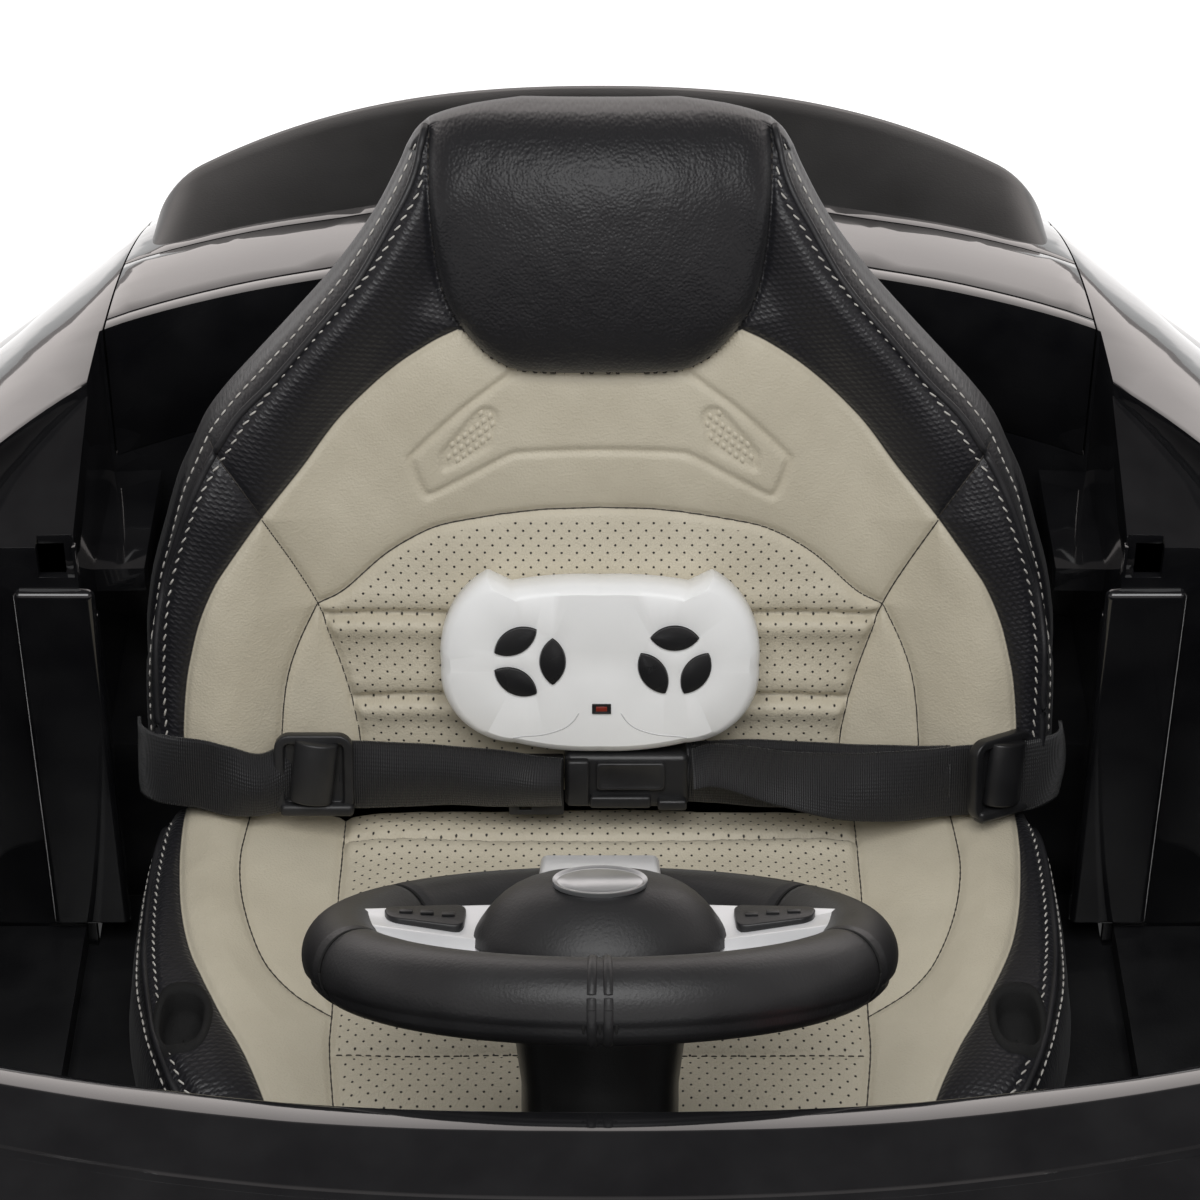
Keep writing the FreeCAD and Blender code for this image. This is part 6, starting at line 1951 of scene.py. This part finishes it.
@dataclass
class Cowl:
    """Rolled lip along the rear of the cowl and the shut line of the bonnet ahead of it.

    Attributes:
        chord: Half width of the arc of the cowl's edge.
        sides: Where the edge meets the sides, along the car.
        middle: Where the edge crosses the middle, along the car.
        half: Half width of the lip.
        felt: Two places ahead of the edge between which the bonnet's slope is felt.
        lip: Section of the lip (ahead of the edge, above the cowl).
        shut: Section of the shut line.
    """

    chord: float = 262.0
    sides: float = -72.0
    middle: float = -117.0
    half: float = 246.0
    felt: Pair = (18.0, 34.0)
    lip: Line = table([
        (-1, -7), (-1.3, -0.4), (-0.4, 0.4), (8.6, 4.0), (9.8, 4.3), (11.2, 4.1), (31.5, 0.1), (31.5, -3)])
    shut: Line = table([(27.9, -2), (28.2, 0.9), (28.8, 1.3), (29.4, 0.8), (29.7, -2)])

    def edge(self, x: float, ahead: float) -> float:
        """Place along the car of a line ahead of the cowl's edge."""
        bow = self.sides - self.middle
        radius = (self.chord**2 + bow**2) / (2 * bow)
        return self.middle + radius - math.sqrt((radius + ahead) ** 2 - x * x)

    def build(self) -> None:
        """Make the lip and the shut line."""
        ground = Ground(frame["nodes"]["front_body"])
        for name, section in (("cowl_lip", self.lip), ("bonnet_shut_line", self.shut)):
            rows = []
            for x in np.linspace(-self.half, self.half, 90):
                fade = float(ease(np.array(self.half - abs(x)), 0.0, 16.0))
                near, far = (ground.level(x, self.edge(x, ahead)) for ahead in self.felt)
                slope = (far - near) / (self.felt[1] - self.felt[0])
                row = []
                for ahead, up in section:
                    level = near + slope * (ahead - self.felt[0])
                    row.append((x, self.edge(x, ahead), level + (up * fade if up > 0 else up)))
                rows.append(row)
            dress(swept(name, rows), GLOSS_BLACK, "car", "gloss_black")


@dataclass
class RearEnd:
    """Rear shoulders that fall away to the corners, and the ducktail standing on them.

    Attributes:
        fall: Drop of the shoulders at places across the car.
        reach: Share of that drop at places along the car.
        low: Height below which nothing drops.
        high: Height above which the whole drop counts.
        pieces: Nodes that follow the shoulders.
        tail: Half width, base and top of the ducktail along the car and its height.
        sweep: How far its base and its top lie forwards at its ends.
        sag: Drop of its top at its ends.
        corner: Radius of its upper corners.
        bed: Height of the deck where none is felt below.
        root: How far it reaches down into the deck.
    """

    fall: Line = table([
        (0, 0), (60, 0.5), (113, 5), (150, 8), (196, 14.5), (210, 20), (235, 33), (257, 46), (300, 60),
        (330, 66)])
    reach: Line = table([(200, 0), (232, 0), (262, 0.25), (350, 0.62), (450, 1), (520, 1), (560, 1)])
    low: float = 230.0
    high: float = 302.0
    pieces: tuple[str, ...] = ("rear_body", "rear_deck", "rear_bumper", "tail_lamp")
    tail: Quad = (195.0, 466.0, 521.0, 340.0)
    sweep: Pair = (46.0, 53.0)
    sag: float = 22.0
    corner: float = 20.0
    bed: float = 280.0
    root: float = 40.0

    def settle(self, obj: Piece) -> Piece:
        """Draw the shoulders of a piece down."""
        place = np.empty(len(obj.data.vertices) * 3)
        obj.data.vertices.foreach_get("co", place)
        place = place.reshape(-1, 3) / MM
        drop = np.clip(profile(np.abs(place[:, 0]), self.fall), 0, None) * profile(place[:, 1], self.reach)
        place[:, 2] -= drop * np.clip((place[:, 2] - self.low) / (self.high - self.low), 0, 1)
        obj.data.vertices.foreach_set("co", (place * MM).ravel())
        obj.data.update()
        return obj

    def ducktail(self, deck: Piece) -> None:
        """Make the ducktail with its hollow front face and rounded upper corners."""
        half, base, top, height = self.tail
        ground = Ground(deck)
        rows = []
        for x in np.sin(np.linspace(-0.5, 0.5, 91) * math.pi) * half:
            share = abs(x) / half
            front, back = base - self.sweep[0] * share**2, top - self.sweep[1] * share**3
            into = max(abs(x) - half + self.corner, 0.0)
            tip = height - self.sag * share**2
            tip += math.sqrt(max(self.corner**2 - into**2, 0.0)) - self.corner
            foot = (ground.level(x, front) or self.bed) - 3.0
            row = []
            for k in np.linspace(0, 1, 9):
                hollow = k + 0.05 * math.sin(math.pi * k)
                row.append((x, front + (back - front) * k, foot + (tip - foot) * hollow))
            row += [(x, back + 3.5, tip - 0.4), (x, back + 6, tip - 3)]
            row += [(x, back + 10, foot - self.root), (x, front, foot - self.root)]
            rows.append(row)
        dress(swept("ducktail", rows), SATIN_BLACK, "car", "gloss_black", "rear_spoiler")


@dataclass
class Bodywork:
    """Rigid pieces whose CAD shape is right and which get softened edges and a finish.

    Attributes:
        rear: Rear end, whose pieces are drawn down first.
        looks: How the nodes of each material slot are shown.
        special: Nodes that are shown in another way than their slot.
    """

    rear: RearEnd = field(default_factory=RearEnd)
    looks: dict[str, NodeDress] = table({
        "gloss_black": NodeDress(GLOSS_BLACK, 0.8), "trim_black": NodeDress(TRIM_BLACK, 0.6),
        "pan_black": NodeDress(PAN_BLACK, 0.6), "lens_clear": NodeDress(LENS_CLEAR, 0.4),
        "lens_red": NodeDress(LENS_RED, 0.4), "steel": NodeDress(STEEL, 0.3),
        "link_black": NodeDress(DRIVE_BLACK, 0.4), "button_black": NodeDress(BUTTON_BLACK, 0.5),
        "wheel_black": NodeDress(WHEEL_BLACK, 0.6), "cap_silver": NodeDress(CAP_SILVER, 0.5),
        "drive_black": NodeDress(DRIVE_BLACK, 0.5), "battery_grey": NodeDress(BATTERY_GREY, 0.8),
        "pedal_grey": NodeDress(PEDAL_GREY, 0.6), "switch_red": NodeDress(SWITCH_RED, 0.4)})
    special: dict[str, NodeDress] = table({
        "column_cover": NodeDress(SATIN_BLACK, 0.8), "seat_shell": NodeDress(PAN_BLACK, 1.0)})

    def build(self, taken: set[str]) -> None:
        """Show every node that no other piece stands for.

        Args:
            taken: Nodes that are already replaced.
        """
        slot_of = {row["node"]: row["material_slot"] for row in frame["record"]["subparts"]}
        for name in sorted(set(frame["nodes"]) - taken - {"rear_spoiler"}):
            slot = slot_of[name]
            look = self.special.get(name, self.looks[slot])
            body = frame["nodes"][name]["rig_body"]
            piece = merged_copy(name, look.bevel, look.degrees)
            if name in self.rear.pieces:
                self.rear.settle(piece)
            if name == "rear_deck":
                self.rear.ducktail(piece)
            dress(piece, look.finish, body, slot, name)


# Studio


@dataclass
class Studio:
    """Pale floor, soft lamps and the camera of the photograph's view.

    Attributes:
        eye: Place of the camera in millimetres.
        aim: Point in the middle of the picture.
        lens: Focal length on a 36 mm sensor.
        fill: Strength of the light from all round.
        warm: Colour of that light in a gloss.
    """

    eye: Triple = (0.0, -843.24, 1117.49)
    aim: Triple = (0.0, 241.06, 270.34)
    lens: float = 104.85
    fill: float = 0.46
    warm: Colour = (1.0, 0.93, 0.91)

    def stand(self, name: str, data: bpy.types.ID, place: Vector, aim: Vector) -> Piece:
        """Put a camera or a lamp at a place in metres, facing a point."""
        obj = added(name, data)
        obj.location = place
        obj.rotation_euler = (aim - place).to_track_quat("-Z", "Y").to_euler()
        return obj

    def camera(self) -> None:
        """Set the camera."""
        data = bpy.data.cameras.new("view")
        data.lens = self.lens
        data.sensor_width = 36.0
        data.clip_start = 0.02
        obj = self.stand("view", data, Vector(self.eye) * MM, Vector(self.aim) * MM)
        bpy.context.scene.camera = obj

    def lamp(self, name: str, place: Sequence[float], aim: Sequence[float], size: Sequence[float],
             level: float, tint: Colour = (1.0, 1.0, 1.0)) -> None:
        """Add one soft lamp.

        Args:
            name: Name of the lamp.
            place: Place in metres.
            aim: Point that it faces.
            size: Width and height in metres.
            level: Brightness of its face, where 1 is white.
            tint: Colour of its light.
        """
        data = bpy.data.lights.new(name, "AREA")
        data.color = tint
        data.shape = "RECTANGLE"
        data.size, data.size_y = size
        data.energy = level * math.pi * size[0] * size[1]
        obj = self.stand(name, data, Vector(place), Vector(aim))
        obj.visible_camera = False

    def floor(self) -> None:
        """Lay a pale floor that reads white and keeps the car's shadow."""
        deselect()
        bpy.ops.mesh.primitive_plane_add(size=14.0, location=(0, 0, 0))
        obj = bpy.context.object
        obj.name = "studio_floor"
        sheet = NodeSheet("studio_floor")
        path = sheet.make("LightPath", {}).outputs
        seen = sheet.math("MINIMUM", sheet.plus(path["Is Camera Ray"], path["Is Glossy Ray"]), 1.0)
        speckle = sheet.noise(sheet.where(), 30.0, 3.0)
        sheet.set(Base_Color=sheet.mix(speckle, (0.78, 0.78, 0.78), (0.80, 0.80, 0.80)), Roughness=0.9,
                  Emission_Color=(1.0, 1.0, 1.0), Emission_Strength=sheet.times(seen, 0.45))
        obj.data.materials.append(sheet.material)

    def world(self) -> None:
        """Fill light from all round, white to the camera and dark overhead to a gloss."""
        world = bpy.data.worlds.new("studio")
        bpy.context.scene.world = world
        world.use_nodes = True
        board = NodeBoard(world.node_tree)
        path = board.make("LightPath", {}).outputs
        _, _, height = board.split(board.where("Generated"))
        gloss = board.between(height, 0.35, 0.8, 0.5, 0.1)
        tint = board.mix(path["Is Glossy Ray"], (1.0, 1.0, 1.0), self.warm)
        level: Value = self.fill
        for ray, seen in (("Is Glossy Ray", gloss), ("Is Transmission Ray", 1.0), ("Is Camera Ray", 1.0)):
            level = board.blend(path[ray], level, seen)
        light = board.make("Background", {0: tint, 1: level})
        board.make("OutputWorld", {0: light.outputs[0]})

    def build(self) -> None:
        """Set the whole studio."""
        bpy.context.scene.view_settings.view_transform = "Standard"
        self.camera()
        self.floor()
        self.world()
        self.lamp("key_lamp", (0.0, -0.9, 2.1), (0.0, 0.2, 0.3), (1.8, 1.2), 4.2)
        self.lamp("back_lamp", (0.0, 1.9, 0.95), (0.0, 0.3, 0.4), (3.2, 1.3), 1.3, (1.0, 0.93, 0.9))


def replaced_nodes() -> set[str]:
    """CAD nodes that pieces stand for so far."""
    found: set[str] = set()
    for obj in bpy.context.scene.objects:
        found |= set(obj.get("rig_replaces", []))
    return found


def main() -> None:
    """Build the studio and the car in order."""
    logging.basicConfig(level=logging.INFO, format="%(message)s")
    Studio().build()
    seat = Seat()
    seat.build()
    SteeringWheel().build()
    LapBelt(seat.backrest).build()
    Remote(seat.backrest).build()
    Cowl().build()
    Bodywork().build(replaced_nodes())


if __name__ == "__main__":
    main()
